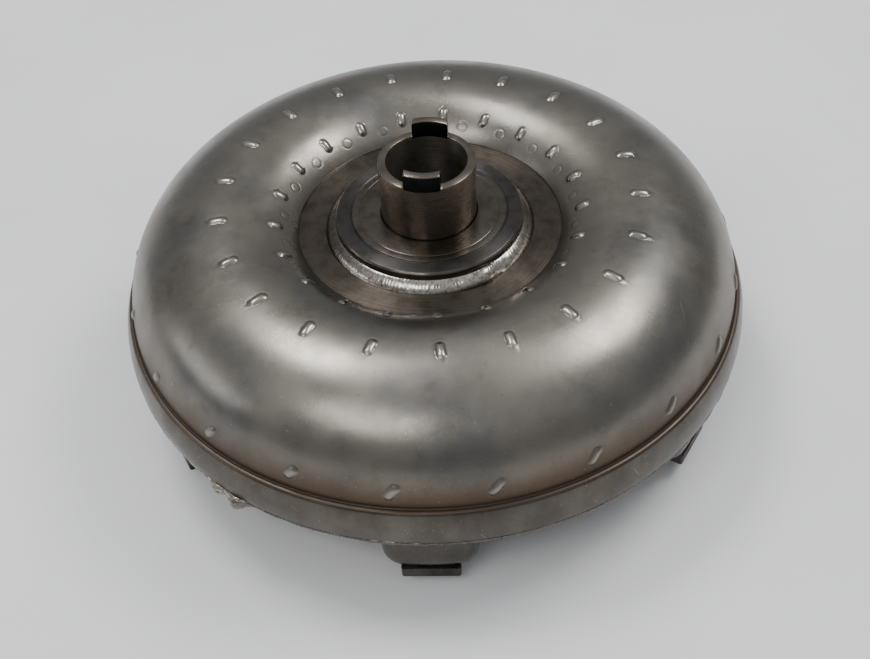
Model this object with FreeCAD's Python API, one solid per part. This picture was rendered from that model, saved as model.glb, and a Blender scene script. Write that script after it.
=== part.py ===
"""Three-element hydrodynamic torque converter, welded housing, hub upwards.

Frame: origin at the middle of the crank pilot's end face, which is the face the unit stands on.
+Z runs along the shaft axis towards the drive hub. One drive lug lies on the -Y axis. Millimetres.

The housing is an impeller (pressed shell, core ring and vanes) welded to a dished front cover. Inside
it turn a turbine, riveted to a splined hub, and a stator on a roller one-way clutch whose inner race
is splined to a fixed tube. Needle thrust bearings sit on both sides of the stator.
"""

import FreeCAD
import Part
import math
import os
from FreeCAD import Vector

# ---------------------------------------------------------------- fluid circuit
CROWN_POS_R = 100.0       # radius at which both dishes are deepest
CIRCUIT_HALF = 42.5       # half of the circuit's width along the axis
IMPELLER_RIM_R = 150.5    # largest inside radius of the impeller shell
IMPELLER_RIM_BEND = 38.0  # bend radius at the rim, on the fluid side
TURBINE_RIM_BEND = 34.5
EYE_BEND = 38.7           # bend radius between the crown and the eye of both dishes
CORE_POS_R = 113.3        # centre of the round core
CORE_R = 18.3
WHEEL_GAP = 3.0           # between the impeller's vanes and the turbine's
EYE_ROOM = 2.2            # flat ring round each eye, beyond the stator's stack

# ---------------------------------------------------------------- housing
SHELL_T = 4.0
COVER_T = 5.0
PILOT_PROUD = 8.0         # crank pilot past the lugs' faces
LUG_H = 7.0
TURBINE_T = 2.5
TURBINE_TO_COVER = 2.0    # running room under the turbine shell
TURBINE_TO_RIM = 1.0      # running room round it
COVER_TO_RIM = 0.4        # cover's inside past the impeller's
LIP_T = 4.0               # impeller shell's widened lip, which laps over the cover
LIP_H = 18.4
LIP_TAPER = 3.1
LIP_TOP_DROP = 0.7        # top of the lip, under the circuit's middle plane
LIP_BULGE = 0.2
LAP_CLEARANCE = 0.1
COVER_BEND = 36.0         # dish bend of the cover between its bosses
SEAT_STEP = 1.0           # machined ring round the hub, cut below the dish

BOSS_COUNT = 6
BOSS_WIDTH = 32.0         # at the face
BOSS_FLARE = 9.5          # extra half-width at the top of the boss
BOSS_INSET = 6.9          # at the face, inside the cover's skirt
BOSS_LEAN = 6.2           # further out at the top of the boss
BOSS_CORNER = 8.0
BOSS_EDGE = (0.0, 0.06, 0.3, 1.0)              # heights of its sections, as shares
BOSS_REACH = 53.0         # along a radius

LUG_WIDTH = 28.0
LUG_DEPTH = 26.0
LUG_PROUD = 2.4           # past the boss
LUG_CHAMFER = 0.8
LUG_HOLE_R = 4.25         # tapping size for M10
LUG_WELD = 4.0

PILOT_R = 22.0
PILOT_REGISTER_R = 19.0
PILOT_CHAMFER = 1.5
PILOT_BASE_STEP = 4.0     # welded base past the pilot
PILOT_BASE_H = 4.0
CENTRE_HOLE_R = 4.0
CENTRE_HOLE_DEPTH = 7.0
PILOT_WELD = 3.5

BALANCE_SIZE = (26.0, 14.0, 2.5)
BALANCE_R = 84.0
BALANCE_AT = 118.0

# ---------------------------------------------------------------- drive hub
HUB_BORE_R = 19.7
HUB_JOURNAL_R = 23.8
HUB_LENGTH = 31.0         # journal above the flange
HUB_FLANGE_W = 23.2       # flange past the journal
HUB_SPIGOT_STEP = 0.5     # spigot that fills the shell's hole, past the flange
HUB_FLANGE_RISE = 9.0     # flange above the shell's machined ring
HUB_DISC_W = 14.8         # bright turned disc on the flange
HUB_DISC_RISE = 0.4
HUB_CHAMFER = 1.0
HUB_NECK = 0.5            # step of the tube where it enters the flange
TANG_H = 7.8
TANG_WIDTH = 17.5
TANG_AT = 85.7            # clocking of the two tangs from the lugs
HUB_WELD_W = 6.4
HUB_WELD_H = 5.2

# ---------------------------------------------------------------- vanes
IMPELLER_VANES = 21
IMPELLER_VANE_T = 1.5
IMPELLER_VANES_AT = 85.5
IMPELLER_SWEEP = 9.5      # backward sweep between the crown and the outer tab
IMPELLER_INLET = 138.0    # ray angles about the core centre
IMPELLER_INLET_EDGE = 141.5
TURBINE_VANES = 23
TURBINE_VANE_T = 1.2
TURBINE_SWEEP = -13.0
TURBINE_OUTLET = 138.0
VANE_INSET = 0.3          # vane edge to shell, so that only the tabs touch
CORE_T = 1.2
CORE_END = 140.0
TAB_LENGTH = 8.0
TAB_DEPTH = 2.4
TAB_PROUD = 0.8
CORE_TAB_LENGTH = 6.0
TAB_ROOT = 1.2
IMPELLER_TABS = (134.3, 102.0, 13.8)     # ray angles of the three rows of tabs
TURBINE_TABS = (118.0, 78.0, 36.0)
CORE_TABS = (112.0, 48.0)
DIMPLE_W = 5.2
DIMPLE_L = 10.2
DIMPLE_H = 1.25
PIP_R = 2.6
PIP_H = 0.4
PIP_DROP = 3.7            # inwards of the inner dimples

# ---------------------------------------------------------------- one-way clutch
RACE_R = 27.0
CLUTCH_ROLLERS = 10
ROLLER_R = 4.5
ROLLER_END_GAP = 1.5
CAM_WALL = 11.97          # outside the rollers
CAM_H = 28.0
PLATE_T = 4.5
POCKET_ANGLE = 27.0
CAM_LAND_GAP = 1.2
RAMP_RISE = 0.55          # over the pocket's length
SPRING_STRIP = 0.3
SPRING_LEGS = 6
SPRING_W = 12.0
SPRING_REACH = 0.62       # half of the zigzag's depth, as a share of the roller's radius
FIT_GAP = 0.03            # running fits
PLAY = 0.1                # each side of a needle
SNAP_T = 1.6
SNAP_DEPTH = 1.8
SNAP_W = 5.0
SNAP_GAP = 12.0

# ---------------------------------------------------------------- thrust bearings
NEEDLES = 24
NEEDLE_D = 2.5
NEEDLE_L = 9.0
BEARING_STEP = 1.6        # bearing's bore past the inner race, and its rim inside the cam
WASHER_T = 1.0
CAGE_T = 1.6
CAGE_GAP = 0.12

# ---------------------------------------------------------------- stator wheel
STATOR_VANES = 17
STATOR_HUB_WALL = 14.0    # of the wheel's hub, outside the clutch
STATOR_RING_T = 2.6
STATOR_RING_HALF = 11.0
STATOR_HUB_CHORD = 32.0
STATOR_TIP_CHORD = 21.0
STATOR_NOSE_R = 3.1
STATOR_TAIL = 1.2
STATOR_TURN = 15.0        # how far the tail leans round the axis, mm

# ---------------------------------------------------------------- splines and turbine hub
STATOR_SPLINE = (30, 18.0, 16.6)     # teeth, root radius, tip radius
TURBINE_SPLINE = (24, 13.0, 11.8)
TURBINE_SPIGOT_GAP = 0.8  # inside the stator's snap ring
TURBINE_FLANGE_W = 15.0
TURBINE_FLANGE_T = 6.0
TURBINE_FOOT_STEP = 2.0   # hub's foot past the thrust washer's rim
RIVETS = 12
RIVET_R = 3.0
RIVET_HEAD_R = 5.0
RIVET_HEAD_H = 2.0
THRUST_WASHER_T = 2.0
THRUST_WASHER_IN_R = 24.0
THRUST_WASHER_OUT_R = 38.0
THRUST_GROOVES = 8
END_PLAY = 0.3
GIRTH_WELD_W = 3.6
GIRTH_WELD_H = 4.2
WELD_LUMP_AT = -125.0
WELD_LUMP_SPAN = 9.0
WELD_LUMP_RISE = 2.6

# ---------------------------------------------------------------- radii worked out from these
TURBINE_RIM_R = IMPELLER_RIM_R - TURBINE_TO_RIM - TURBINE_T
SKIRT_R = IMPELLER_RIM_R + COVER_TO_RIM + COVER_T
LIP_IN_R = SKIRT_R + LAP_CLEARANCE
LIP_OUTER_R = LIP_IN_R + LIP_T
LIP_TOP_R = LIP_OUTER_R - LIP_TAPER
BOSS_OUTER_R = SKIRT_R - BOSS_INSET
BOSS_INNER_R = BOSS_OUTER_R - BOSS_REACH
LUG_OUTER_R = BOSS_OUTER_R + LUG_PROUD
LUG_POS_R = LUG_OUTER_R - LUG_DEPTH / 2
HUB_FLANGE_R = HUB_JOURNAL_R + HUB_FLANGE_W
HUB_SPIGOT_R = HUB_FLANGE_R + HUB_SPIGOT_STEP
HUB_DISC_R = HUB_JOURNAL_R + HUB_DISC_W
ROLLER_POS_R = RACE_R + FIT_GAP + ROLLER_R
CAM_R = ROLLER_POS_R + ROLLER_R + CAM_WALL
STATOR_HUB_R = CAM_R + STATOR_HUB_WALL
SNAP_OUT_R = CAM_R + SNAP_DEPTH
SNAP_IN_R = SNAP_OUT_R - SNAP_W
TURBINE_SPIGOT_R = SNAP_IN_R - TURBINE_SPIGOT_GAP
TURBINE_FLANGE_R = TURBINE_SPIGOT_R + TURBINE_FLANGE_W
TURBINE_FOOT_R = THRUST_WASHER_OUT_R + TURBINE_FOOT_STEP
RIVET_POS_R = (TURBINE_SPIGOT_R + TURBINE_FLANGE_R) / 2
BEARING_IN_R = RACE_R + BEARING_STEP
BEARING_OUT_R = TURBINE_SPIGOT_R - BEARING_STEP

# ---------------------------------------------------------------- heights worked out from these
FACE_Z = PILOT_PROUD + LUG_H
FLOOR_Z = FACE_Z + COVER_T
CIRCUIT_Z = FLOOR_Z + TURBINE_TO_COVER + TURBINE_T + CIRCUIT_HALF
STACK_HALF = CAM_H / 2 + PLATE_T + 2 * WASHER_T + NEEDLE_D + 2 * PLAY
EYE_FLAT_RISE = STACK_HALF + EYE_ROOM
SEAT_Z = CIRCUIT_Z + EYE_FLAT_RISE + SHELL_T          # machined ring the hub is welded to
HUB_SEAT_Z = CIRCUIT_Z + STACK_HALF
HUB_FLANGE_Z = SEAT_Z + HUB_FLANGE_RISE
HUB_TOP_Z = HUB_FLANGE_Z + HUB_LENGTH
LIP_TOP_Z = CIRCUIT_Z - LIP_TOP_DROP
LIP_LOW_Z = LIP_TOP_Z - LIP_H
LAP_STEP_Z = LIP_TOP_Z - SHELL_T
SKIRT_TOP_Z = LAP_STEP_Z - END_PLAY
TURBINE_SEAT_Z = CIRCUIT_Z - STACK_HALF
TURBINE_FLAT_Z = CIRCUIT_Z - EYE_FLAT_RISE
FLANGE_TOP_Z = TURBINE_FLAT_Z - TURBINE_T
FLANGE_LOW_Z = FLANGE_TOP_Z - TURBINE_FLANGE_T
TURBINE_FOOT_Z = FLOOR_Z + THRUST_WASHER_T + END_PLAY
CAM_LOW, CAM_HIGH = CIRCUIT_Z - CAM_H / 2, CIRCUIT_Z + CAM_H / 2
PLATE_LOW, PLATE_HIGH = CAM_LOW - PLATE_T, CAM_HIGH + PLATE_T

FULL = 360.0
AXIS = Vector(0, 0, 1)
ORIGIN = Vector(0, 0, 0)


# ================================================================ small helpers
def at(r, z, turn=0.0):
    """The point at radius r and height z, turned about the shaft axis by turn degrees."""
    a = math.radians(turn)
    return Vector(r * math.cos(a), r * math.sin(a), z)


def line(p, q):
    return Part.makeLine(p, q)


def bend(centre, radius, start, end):
    """An arc in the section plane, between two angles in degrees."""
    points = []
    for angle in (start, (start + end) / 2, end):
        a = math.radians(angle)
        points.append(at(centre[0] + radius * math.cos(a), centre[1] + radius * math.sin(a)))
    return Part.Arc(*points).toShape()


def ends(edge):
    return edge.valueAt(edge.FirstParameter), edge.valueAt(edge.LastParameter)


def closed_section(edges):
    """Joins edges, given in order, with straight lines and returns the face inside them."""
    chain = []
    first = ends(edges[0])[0]
    here = first
    for edge in edges:
        start, end = ends(edge)
        if here.distanceToPoint(start) > 1e-6:
            chain.append(line(here, start))
        chain.append(edge)
        here = end
    if here.distanceToPoint(first) > 1e-6:
        chain.append(line(here, first))
    return Part.Face(Part.Wire(chain))


def outline(points):
    """A polygon's face from (radius, height) pairs."""
    loop = [at(r, z) for r, z in points]
    return Part.Face(Part.makePolygon(loop + [loop[0]]))


def turned(face):
    return face.revolve(ORIGIN, AXIS, FULL)


def tube(outer, inner, low, high):
    return turned(outline([(inner, low), (outer, low), (outer, high), (inner, high)]))


def spun(shape, count, first=0.0):
    """Copies of a shape, evenly spaced about the shaft axis."""
    copies = []
    for i in range(count):
        copy = shape.copy()
        copy.rotate(ORIGIN, AXIS, first + i * FULL / count)
        copies.append(copy)
    return copies


def placed(shape, origin, x_way, z_way):
    """A shape drawn at the origin, moved so that its X and Z run along the two given ways."""
    z = Vector(z_way).normalize()
    x = Vector(x_way) - z * Vector(x_way).dot(z)
    x.normalize()
    y = z.cross(x)
    copy = shape.copy()
    copy.Placement = FreeCAD.Placement(
        FreeCAD.Matrix(x.x, y.x, z.x, origin.x, x.y, y.y, z.y, origin.y, x.z, y.z, z.z, origin.z, 0, 0, 0, 1)
    )
    return copy


def block(length, width, low, high):
    """A box centred on X and Y."""
    return Part.makeBox(length, width, high - low, Vector(-length / 2, -width / 2, low))


# ================================================================ the dishes
class Dish:
    """The fluid side of a wheel's shell, as three arcs: rim, crown and eye. side is +1 for the
    impeller, above the circuit's middle plane, and -1 for the turbine. The wall lies outside it."""

    def __init__(self, side, rim_r, rim_bend):
        self.side = side
        self.rim_bend = rim_bend
        self.rim_centre = (rim_r - rim_bend, 0.0)
        reach = self.rim_centre[0] - CROWN_POS_R
        self.crown_bend = (reach**2 + CIRCUIT_HALF**2 - rim_bend**2) / (2 * (CIRCUIT_HALF - rim_bend))
        self.crown_centre = (CROWN_POS_R, CIRCUIT_HALF - self.crown_bend)
        self.eye_centre = (CROWN_POS_R, CIRCUIT_HALF - EYE_BEND)
        self.join = math.degrees(math.atan2(-self.crown_centre[1], reach))

    def z(self, rise):
        return CIRCUIT_Z + self.side * rise

    def arcs(self, offset=0.0, eye_flat=EYE_FLAT_RISE):
        """Edges from the rim to the eye, offset outwards from the fluid side."""
        eye_r = EYE_BEND + offset
        eye_angle = 180.0 - math.degrees(math.asin((eye_flat - self.eye_centre[1]) / eye_r))
        spans = [
            (self.rim_centre, self.rim_bend + offset, 0.0, self.join),
            (self.crown_centre, self.crown_bend + offset, self.join, 90.0),
            (self.eye_centre, eye_r, 90.0, eye_angle),
        ]
        edges = []
        for (r, rise), radius, start, end in spans:
            edges.append(bend((r, self.z(rise)), radius, self.side * start, self.side * end))
        return edges

    def hit(self, ray, offset=0.0):
        """(radius, rise) where a ray from the core's centre meets the surface, and the outward
        normal there. ray is in degrees, 0 outwards and 90 towards the crown."""
        d = (math.cos(math.radians(ray)), math.sin(math.radians(ray)))
        join_r = self.crown_centre[0] + (self.crown_bend + offset) * math.cos(math.radians(self.join))
        choices = [
            (self.rim_centre, self.rim_bend + offset, join_r, 1e9),
            (self.crown_centre, self.crown_bend + offset, CROWN_POS_R, join_r),
            (self.eye_centre, EYE_BEND + offset, 0.0, CROWN_POS_R),
        ]
        best = None
        for centre, radius, low, high in choices:
            px, pz = CORE_POS_R - centre[0], -centre[1]
            b = px * d[0] + pz * d[1]
            s = -b + math.sqrt(b * b - (px * px + pz * pz - radius * radius))
            r, rise = CORE_POS_R + s * d[0], s * d[1]
            miss = max(low - r, r - high, 0.0)
            if best is None or miss < best[0]:
                best = (miss, (r, rise), ((r - centre[0]) / radius, (rise - centre[1]) / radius))
        return best[1], best[2]


IMPELLER = Dish(+1, IMPELLER_RIM_R, IMPELLER_RIM_BEND)
TURBINE = Dish(-1, TURBINE_RIM_R, TURBINE_RIM_BEND)


def impeller_swing(ray):
    """Turn of an impeller vane about the axis: radial from the eye to the crown, then swept back."""
    crown, rim = IMPELLER_TABS[1], IMPELLER_TABS[2]
    return -IMPELLER_SWEEP * (max(0.0, crown - ray) / (crown - rim)) ** 2


def turbine_swing(ray):
    """Turn of a turbine vane: a deep bucket, with both ends behind its middle."""
    middle = TURBINE_OUTLET / 2
    return TURBINE_SWEEP * ((ray - middle) / middle) ** 2


def core_point(ray, offset=0.0):
    a = math.radians(ray)
    return (CORE_POS_R + (CORE_R + offset) * math.cos(a), (CORE_R + offset) * math.sin(a))


def vane(dish, swing, thickness, inlet_core, inlet_edge, outlet, stations=7):
    """One vane, lofted through narrow four-sided sections from the eye to the rim."""
    sections = []
    for i in range(stations):
        share = i / (stations - 1)
        edge_ray = inlet_edge + (outlet - inlet_edge) * share
        core_ray = inlet_core + (outlet - inlet_core) * share
        outer, _ = dish.hit(edge_ray, -VANE_INSET)
        inner = core_point(core_ray, VANE_INSET)
        turn = swing(edge_ray)
        corners = []
        for (r, rise), way in ((outer, -1), (outer, 1), (inner, 1), (inner, -1)):
            half = math.degrees(way * thickness / 2 / r)
            corners.append(at(r, dish.z(rise), turn + half))
        sections.append(Part.makePolygon(corners + [corners[0]]))
    return Part.makeLoft(sections, True, False)


def seat(dish, swing, ray, on_core=False):
    """Point, way along the vane and outward way, where a tab meets the shell or the core ring."""
    step = 0.5

    def spot(angle):
        if on_core:
            r, rise = core_point(angle)
        else:
            (r, rise), _ = dish.hit(angle)
        return at(r, dish.z(rise), swing(angle))

    along = spot(ray - step) - spot(ray + step)
    a = math.radians(ray)
    n = (-math.cos(a), -math.sin(a)) if on_core else dish.hit(ray)[1]
    out = at(n[0], dish.side * n[1], swing(ray))
    return spot(ray), along, out


def tab(dish, swing, ray, length, thickness, depth, on_core=False):
    origin, along, out = seat(dish, swing, ray, on_core)
    return placed(block(length, thickness, -TAB_ROOT, depth), origin, along, out)


def fused(shape, extras):
    return shape.multiFuse(extras).removeSplitter()


# ================================================================ impeller
def impeller_tabs():
    pieces = []
    for ray in IMPELLER_TABS:
        pieces.append(tab(IMPELLER, impeller_swing, ray, TAB_LENGTH, IMPELLER_VANE_T, TAB_DEPTH))
    return pieces


def impeller_core_tabs():
    pieces = []
    for ray in CORE_TABS:
        pieces.append(
            tab(IMPELLER, impeller_swing, ray, CORE_TAB_LENGTH, IMPELLER_VANE_T, CORE_T + TAB_PROUD, True)
        )
    return pieces


def dimple(ray):
    """The pressed bump over one vane tab: a pill half sunk in the shell's outer face."""
    origin, along, out = seat(IMPELLER, impeller_swing, ray)
    radius = DIMPLE_W / 2
    straight = DIMPLE_L - DIMPLE_W
    rod = Part.makeCylinder(radius, straight, Vector(-straight / 2, 0, 0), Vector(1, 0, 0))
    caps = [Part.makeSphere(radius, Vector(x, 0, 0)) for x in (-straight / 2, straight / 2)]
    pill = rod.multiFuse(caps).removeSplitter()
    lift = SHELL_T + DIMPLE_H - radius
    return placed(pill, origin + Vector(out).normalize() * lift, along, out)


def pip():
    """A small round punch mark between two vanes, on the slope above the hub."""
    (inner_r, _), normal = IMPELLER.hit(IMPELLER_TABS[0])
    r = inner_r + normal[0] * SHELL_T - PIP_DROP
    rise = IMPELLER.eye_centre[1] + math.sqrt((EYE_BEND + SHELL_T) ** 2 - (CROWN_POS_R - r) ** 2)
    out = at(r - IMPELLER.eye_centre[0], rise - IMPELLER.eye_centre[1])
    disc = Part.makeCylinder(PIP_R, SHELL_T / 2 + PIP_H, Vector(0, 0, -SHELL_T / 2))
    return placed(disc, at(r, IMPELLER.z(rise)), Vector(0, 1, 0), out)


def impeller_shell():
    outer = IMPELLER.arcs(SHELL_T, EYE_FLAT_RISE + SHELL_T + SEAT_STEP)
    inner = IMPELLER.arcs(0.0)
    eye_edge = ends(outer[-1])[1].x
    foot, belly = at(LIP_OUTER_R - LIP_BULGE, LIP_LOW_Z), at(LIP_OUTER_R, LIP_LOW_Z + LIP_H * 0.4)
    lip = Part.Arc(foot, belly, at(LIP_TOP_R, LIP_TOP_Z)).toShape()
    seat_edge = line(at(eye_edge, SEAT_Z), at(HUB_SPIGOT_R, SEAT_Z))
    under = line(at(HUB_SPIGOT_R, SEAT_Z - SHELL_T), ends(inner[-1])[1])
    back = [reversed_edge(e) for e in reversed(inner)]
    rim = [
        line(ends(inner[0])[0], at(IMPELLER_RIM_R, LAP_STEP_Z)),
        line(at(IMPELLER_RIM_R, LAP_STEP_Z), at(LIP_IN_R, LAP_STEP_Z)),
        line(at(LIP_IN_R, LAP_STEP_Z), at(LIP_IN_R, LIP_LOW_Z)),
    ]
    shoulder = line(at(IMPELLER_RIM_R + SHELL_T, LIP_TOP_Z), ends(outer[0])[0])
    shell = turned(closed_section([lip, shoulder] + outer + [seat_edge, under] + back + rim))
    bumps = []
    for ray in IMPELLER_TABS:
        bumps += spun(dimple(ray), IMPELLER_VANES, IMPELLER_VANES_AT)
    bumps += spun(pip(), IMPELLER_VANES, IMPELLER_VANES_AT - FULL / IMPELLER_VANES / 2)
    shell = shell.multiFuse(bumps)
    pockets = []
    for piece in impeller_tabs():
        pockets += spun(piece, IMPELLER_VANES, IMPELLER_VANES_AT)
    return shell.cut(pockets)


def reversed_edge(edge):
    start, end = ends(edge)
    middle = edge.valueAt((edge.FirstParameter + edge.LastParameter) / 2)
    return Part.Arc(end, middle, start).toShape()


def impeller_vanes():
    outlet = math.degrees(math.asin(WHEEL_GAP / 2 / (IMPELLER_RIM_R - CORE_POS_R)))
    one = vane(IMPELLER, impeller_swing, IMPELLER_VANE_T, IMPELLER_INLET, IMPELLER_INLET_EDGE, outlet)
    one = fused(one, impeller_tabs() + impeller_core_tabs())
    return Part.makeCompound(spun(one, IMPELLER_VANES, IMPELLER_VANES_AT))


def core_ring(dish, tabs, count, first):
    """Half of the round core, with a slot for each vane tab."""
    low = math.degrees(math.asin(WHEEL_GAP / 2 / CORE_R))
    centre = (CORE_POS_R, CIRCUIT_Z)
    out = bend(centre, CORE_R, dish.side * low, dish.side * CORE_END)
    back = bend(centre, CORE_R - CORE_T, dish.side * CORE_END, dish.side * low)
    ring = turned(closed_section([out, back]))
    slots = []
    for piece in tabs:
        slots += spun(piece, count, first)
    return ring.cut(slots)


def impeller_core_ring():
    return core_ring(IMPELLER, impeller_core_tabs(), IMPELLER_VANES, IMPELLER_VANES_AT)


# ================================================================ drive hub
def tang():
    ring = tube(HUB_JOURNAL_R, HUB_BORE_R, HUB_TOP_Z - 1.0, HUB_TOP_Z + TANG_H)
    slab = Part.makeBox(2 * HUB_JOURNAL_R, TANG_WIDTH, FULL, Vector(0, -TANG_WIDTH / 2, 0))
    return ring.common(slab)


def impeller_hub():
    """The hub's tube, with the two tangs that drive the pump."""
    body = turned(outline([
        (HUB_BORE_R, HUB_SEAT_Z),
        (HUB_JOURNAL_R - HUB_NECK, HUB_SEAT_Z),
        (HUB_JOURNAL_R - HUB_NECK, HUB_FLANGE_Z),
        (HUB_JOURNAL_R, HUB_FLANGE_Z),
        (HUB_JOURNAL_R, HUB_TOP_Z),
        (HUB_BORE_R, HUB_TOP_Z),
    ]))
    return body.multiFuse(spun(tang(), 2, TANG_AT)).removeSplitter()


def hub_flange():
    """The ring that joins the tube to the shell: a spigot in the shell's hole under a stepped flange."""
    top = HUB_FLANGE_Z
    ring_z = top - HUB_DISC_RISE
    return turned(outline([
        (HUB_JOURNAL_R - HUB_NECK, HUB_SEAT_Z),
        (HUB_SPIGOT_R, HUB_SEAT_Z),
        (HUB_SPIGOT_R, SEAT_Z),
        (HUB_FLANGE_R, SEAT_Z),
        (HUB_FLANGE_R, ring_z - HUB_CHAMFER),
        (HUB_FLANGE_R - HUB_CHAMFER, ring_z),
        (HUB_DISC_R, ring_z),
        (HUB_DISC_R, top),
        (HUB_JOURNAL_R + HUB_NECK, top),
        (HUB_JOURNAL_R - HUB_NECK, top - 2 * HUB_NECK),
    ]))


def bead(corner, width, height):
    """Section of a convex fillet weld: corner (radius, height), leg lengths may be negative."""
    r, z = corner
    foot, top = at(r + width, z), at(r, z + height)
    belly = at(r + width * 0.62, z + height * 0.62)
    arc = Part.Arc(foot, belly, top).toShape()
    return closed_section([line(at(r, z), foot), arc])


def hub_weld():
    return turned(bead((HUB_FLANGE_R, SEAT_Z), HUB_WELD_W, HUB_WELD_H))


# ================================================================ front cover
def cover_dish(offset):
    """Filled body of the cover between its bosses, offset inwards by offset."""
    centre = (SKIRT_R - COVER_BEND, FACE_Z + COVER_BEND)
    side = bend(centre, COVER_BEND - offset, -90.0, 0.0)
    top = SKIRT_TOP_Z if offset == 0 else SKIRT_TOP_Z + 1.0
    loop = closed_section([
        line(at(0, top), at(0, FACE_Z + offset)),
        line(at(0, FACE_Z + offset), ends(side)[0]),
        side,
        line(ends(side)[1], at(SKIRT_R - offset, top)),
    ])
    return turned(loop)


def boss_section(z, half, outer_r, inner_x, corner):
    """Outline of a boss at height z: a curved outer side and two rounded outer corners."""
    side_x = math.sqrt(outer_r**2 - half**2) - corner
    turn = math.degrees(math.asin((half - corner) / outer_r))
    left, right = at(outer_r, z, -turn), at(outer_r, z, turn)
    rim = Part.Arc(left, at(outer_r, z), right).toShape()
    bulge = corner * (1 - math.sqrt(0.5))
    middle_x = left.x - bulge
    right_arc = Part.Arc(right, Vector(middle_x, half - bulge, z), Vector(side_x, half, z)).toShape()
    left_arc = Part.Arc(Vector(side_x, -half, z), Vector(middle_x, bulge - half, z), left).toShape()
    back_right, back_left = Vector(inner_x, half, z), Vector(inner_x, -half, z)
    sides = [line(Vector(side_x, half, z), back_right), line(back_right, back_left)]
    return Part.Wire([rim, right_arc] + sides + [line(back_left, Vector(side_x, -half, z)), left_arc])


def boss(offset):
    """One pressed lug boss, drawn on +X: its sides round over from the face and flare upwards."""
    low, high = FACE_Z + offset, LIP_LOW_Z
    sections = []
    for share in BOSS_EDGE:
        grown = share**0.3
        half = BOSS_WIDTH / 2 + BOSS_FLARE * grown - offset
        outer = BOSS_OUTER_R + BOSS_LEAN * share**0.45 - offset
        sections.append(boss_section(low + (high - low) * share, half, outer, BOSS_INNER_R + offset, BOSS_CORNER))
    return Part.makeLoft(sections, True, False)


def front_cover():
    outer = cover_dish(0.0).multiFuse(spun(boss(0.0), BOSS_COUNT, -90.0))
    inner = cover_dish(COVER_T).multiFuse(spun(boss(COVER_T), BOSS_COUNT, -90.0))
    hole = Part.makeCylinder(PILOT_REGISTER_R, COVER_T * 3, Vector(0, 0, FACE_Z - COVER_T))
    return outer.cut([inner, hole]).removeSplitter()


def girth_weld(shell, cover):
    """The lap weld under the lip, trimmed to both shells, with the lump where its ends overlap."""
    centre = (LIP_OUTER_R - GIRTH_WELD_W, LIP_LOW_Z)
    root = LIP_OUTER_R - GIRTH_WELD_W - COVER_T / 2

    def section(width, height):
        foot, top = at(root, LIP_LOW_Z - height), at(centre[0] + width, LIP_LOW_Z)
        belly = at(centre[0] + width * 0.62, LIP_LOW_Z - height * 0.66)
        return closed_section([Part.Arc(top, belly, foot).toShape(), line(foot, at(root, LIP_LOW_Z))])

    ring = turned(section(GIRTH_WELD_W, GIRTH_WELD_H))
    wide = section(GIRTH_WELD_W + WELD_LUMP_RISE, GIRTH_WELD_H + WELD_LUMP_RISE / 2)
    lump = wide.revolve(ORIGIN, AXIS, WELD_LUMP_SPAN)
    lump.rotate(ORIGIN, AXIS, WELD_LUMP_AT - WELD_LUMP_SPAN / 2)
    return ring.fuse(lump).cut([shell, cover])


def drive_lugs():
    lug = block(LUG_DEPTH, LUG_WIDTH, FACE_Z - LUG_H, FACE_Z)
    lug.translate(Vector(LUG_POS_R, 0, 0))
    rims = [e for e in lug.Edges if abs(ends(e)[0].z - FACE_Z) > 1e-6 or abs(ends(e)[1].z - FACE_Z) > 1e-6]
    lug = lug.makeChamfer(LUG_CHAMFER, rims)
    hole = Part.makeCylinder(LUG_HOLE_R, LUG_H * 2, Vector(LUG_POS_R, 0, FACE_Z - LUG_H * 1.5))
    return Part.makeCompound(spun(lug.cut(hole), BOSS_COUNT, -90.0))


def lug_welds():
    """A fillet bead along the inner side of each lug."""
    inner_x = LUG_OUTER_R - LUG_DEPTH
    half = LUG_WIDTH / 2 - LUG_CHAMFER
    corner, foot, top = (Vector(inner_x + dx, -half, FACE_Z + dz)
                         for dx, dz in ((0, 0), (-LUG_WELD, 0), (0, -LUG_WELD)))
    belly = Vector(inner_x - LUG_WELD * 0.6, -half, FACE_Z - LUG_WELD * 0.6)
    section = Part.Face(Part.Wire([line(corner, foot), Part.Arc(foot, belly, top).toShape(), line(top, corner)]))
    return Part.makeCompound(spun(section.extrude(Vector(0, 2 * half, 0)), BOSS_COUNT, -90.0))


def crank_pilot():
    body = turned(outline([
        (0, 0),
        (PILOT_R - PILOT_CHAMFER, 0),
        (PILOT_R, PILOT_CHAMFER),
        (PILOT_R, FACE_Z - PILOT_BASE_H),
        (PILOT_R + PILOT_BASE_STEP, FACE_Z - PILOT_BASE_H),
        (PILOT_R + PILOT_BASE_STEP, FACE_Z),
        (PILOT_REGISTER_R, FACE_Z),
        (PILOT_REGISTER_R, FLOOR_Z),
        (0, FLOOR_Z),
    ]))
    centre = Part.makeCone(CENTRE_HOLE_R, 0, CENTRE_HOLE_DEPTH)
    return body.cut(centre)


def pilot_weld():
    return turned(bead((PILOT_R + PILOT_BASE_STEP, FACE_Z), PILOT_WELD, -PILOT_WELD))


def balance_weight():
    length, width, height = BALANCE_SIZE
    plate = block(width, length, FACE_Z - height, FACE_Z)
    plate.translate(Vector(BALANCE_R, 0, 0))
    plate.rotate(ORIGIN, AXIS, BALANCE_AT)
    return plate


def cover_thrust_washer():
    middle, top = FLOOR_Z + THRUST_WASHER_T / 2, FLOOR_Z + THRUST_WASHER_T
    ring = tube(THRUST_WASHER_OUT_R, THRUST_WASHER_IN_R, FLOOR_Z, top)
    groove = block(THRUST_WASHER_OUT_R, THRUST_WASHER_T, middle, top + THRUST_WASHER_T)
    groove.translate(Vector(THRUST_WASHER_OUT_R, 0, 0))
    return ring.cut(spun(groove, THRUST_GROOVES))


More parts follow.
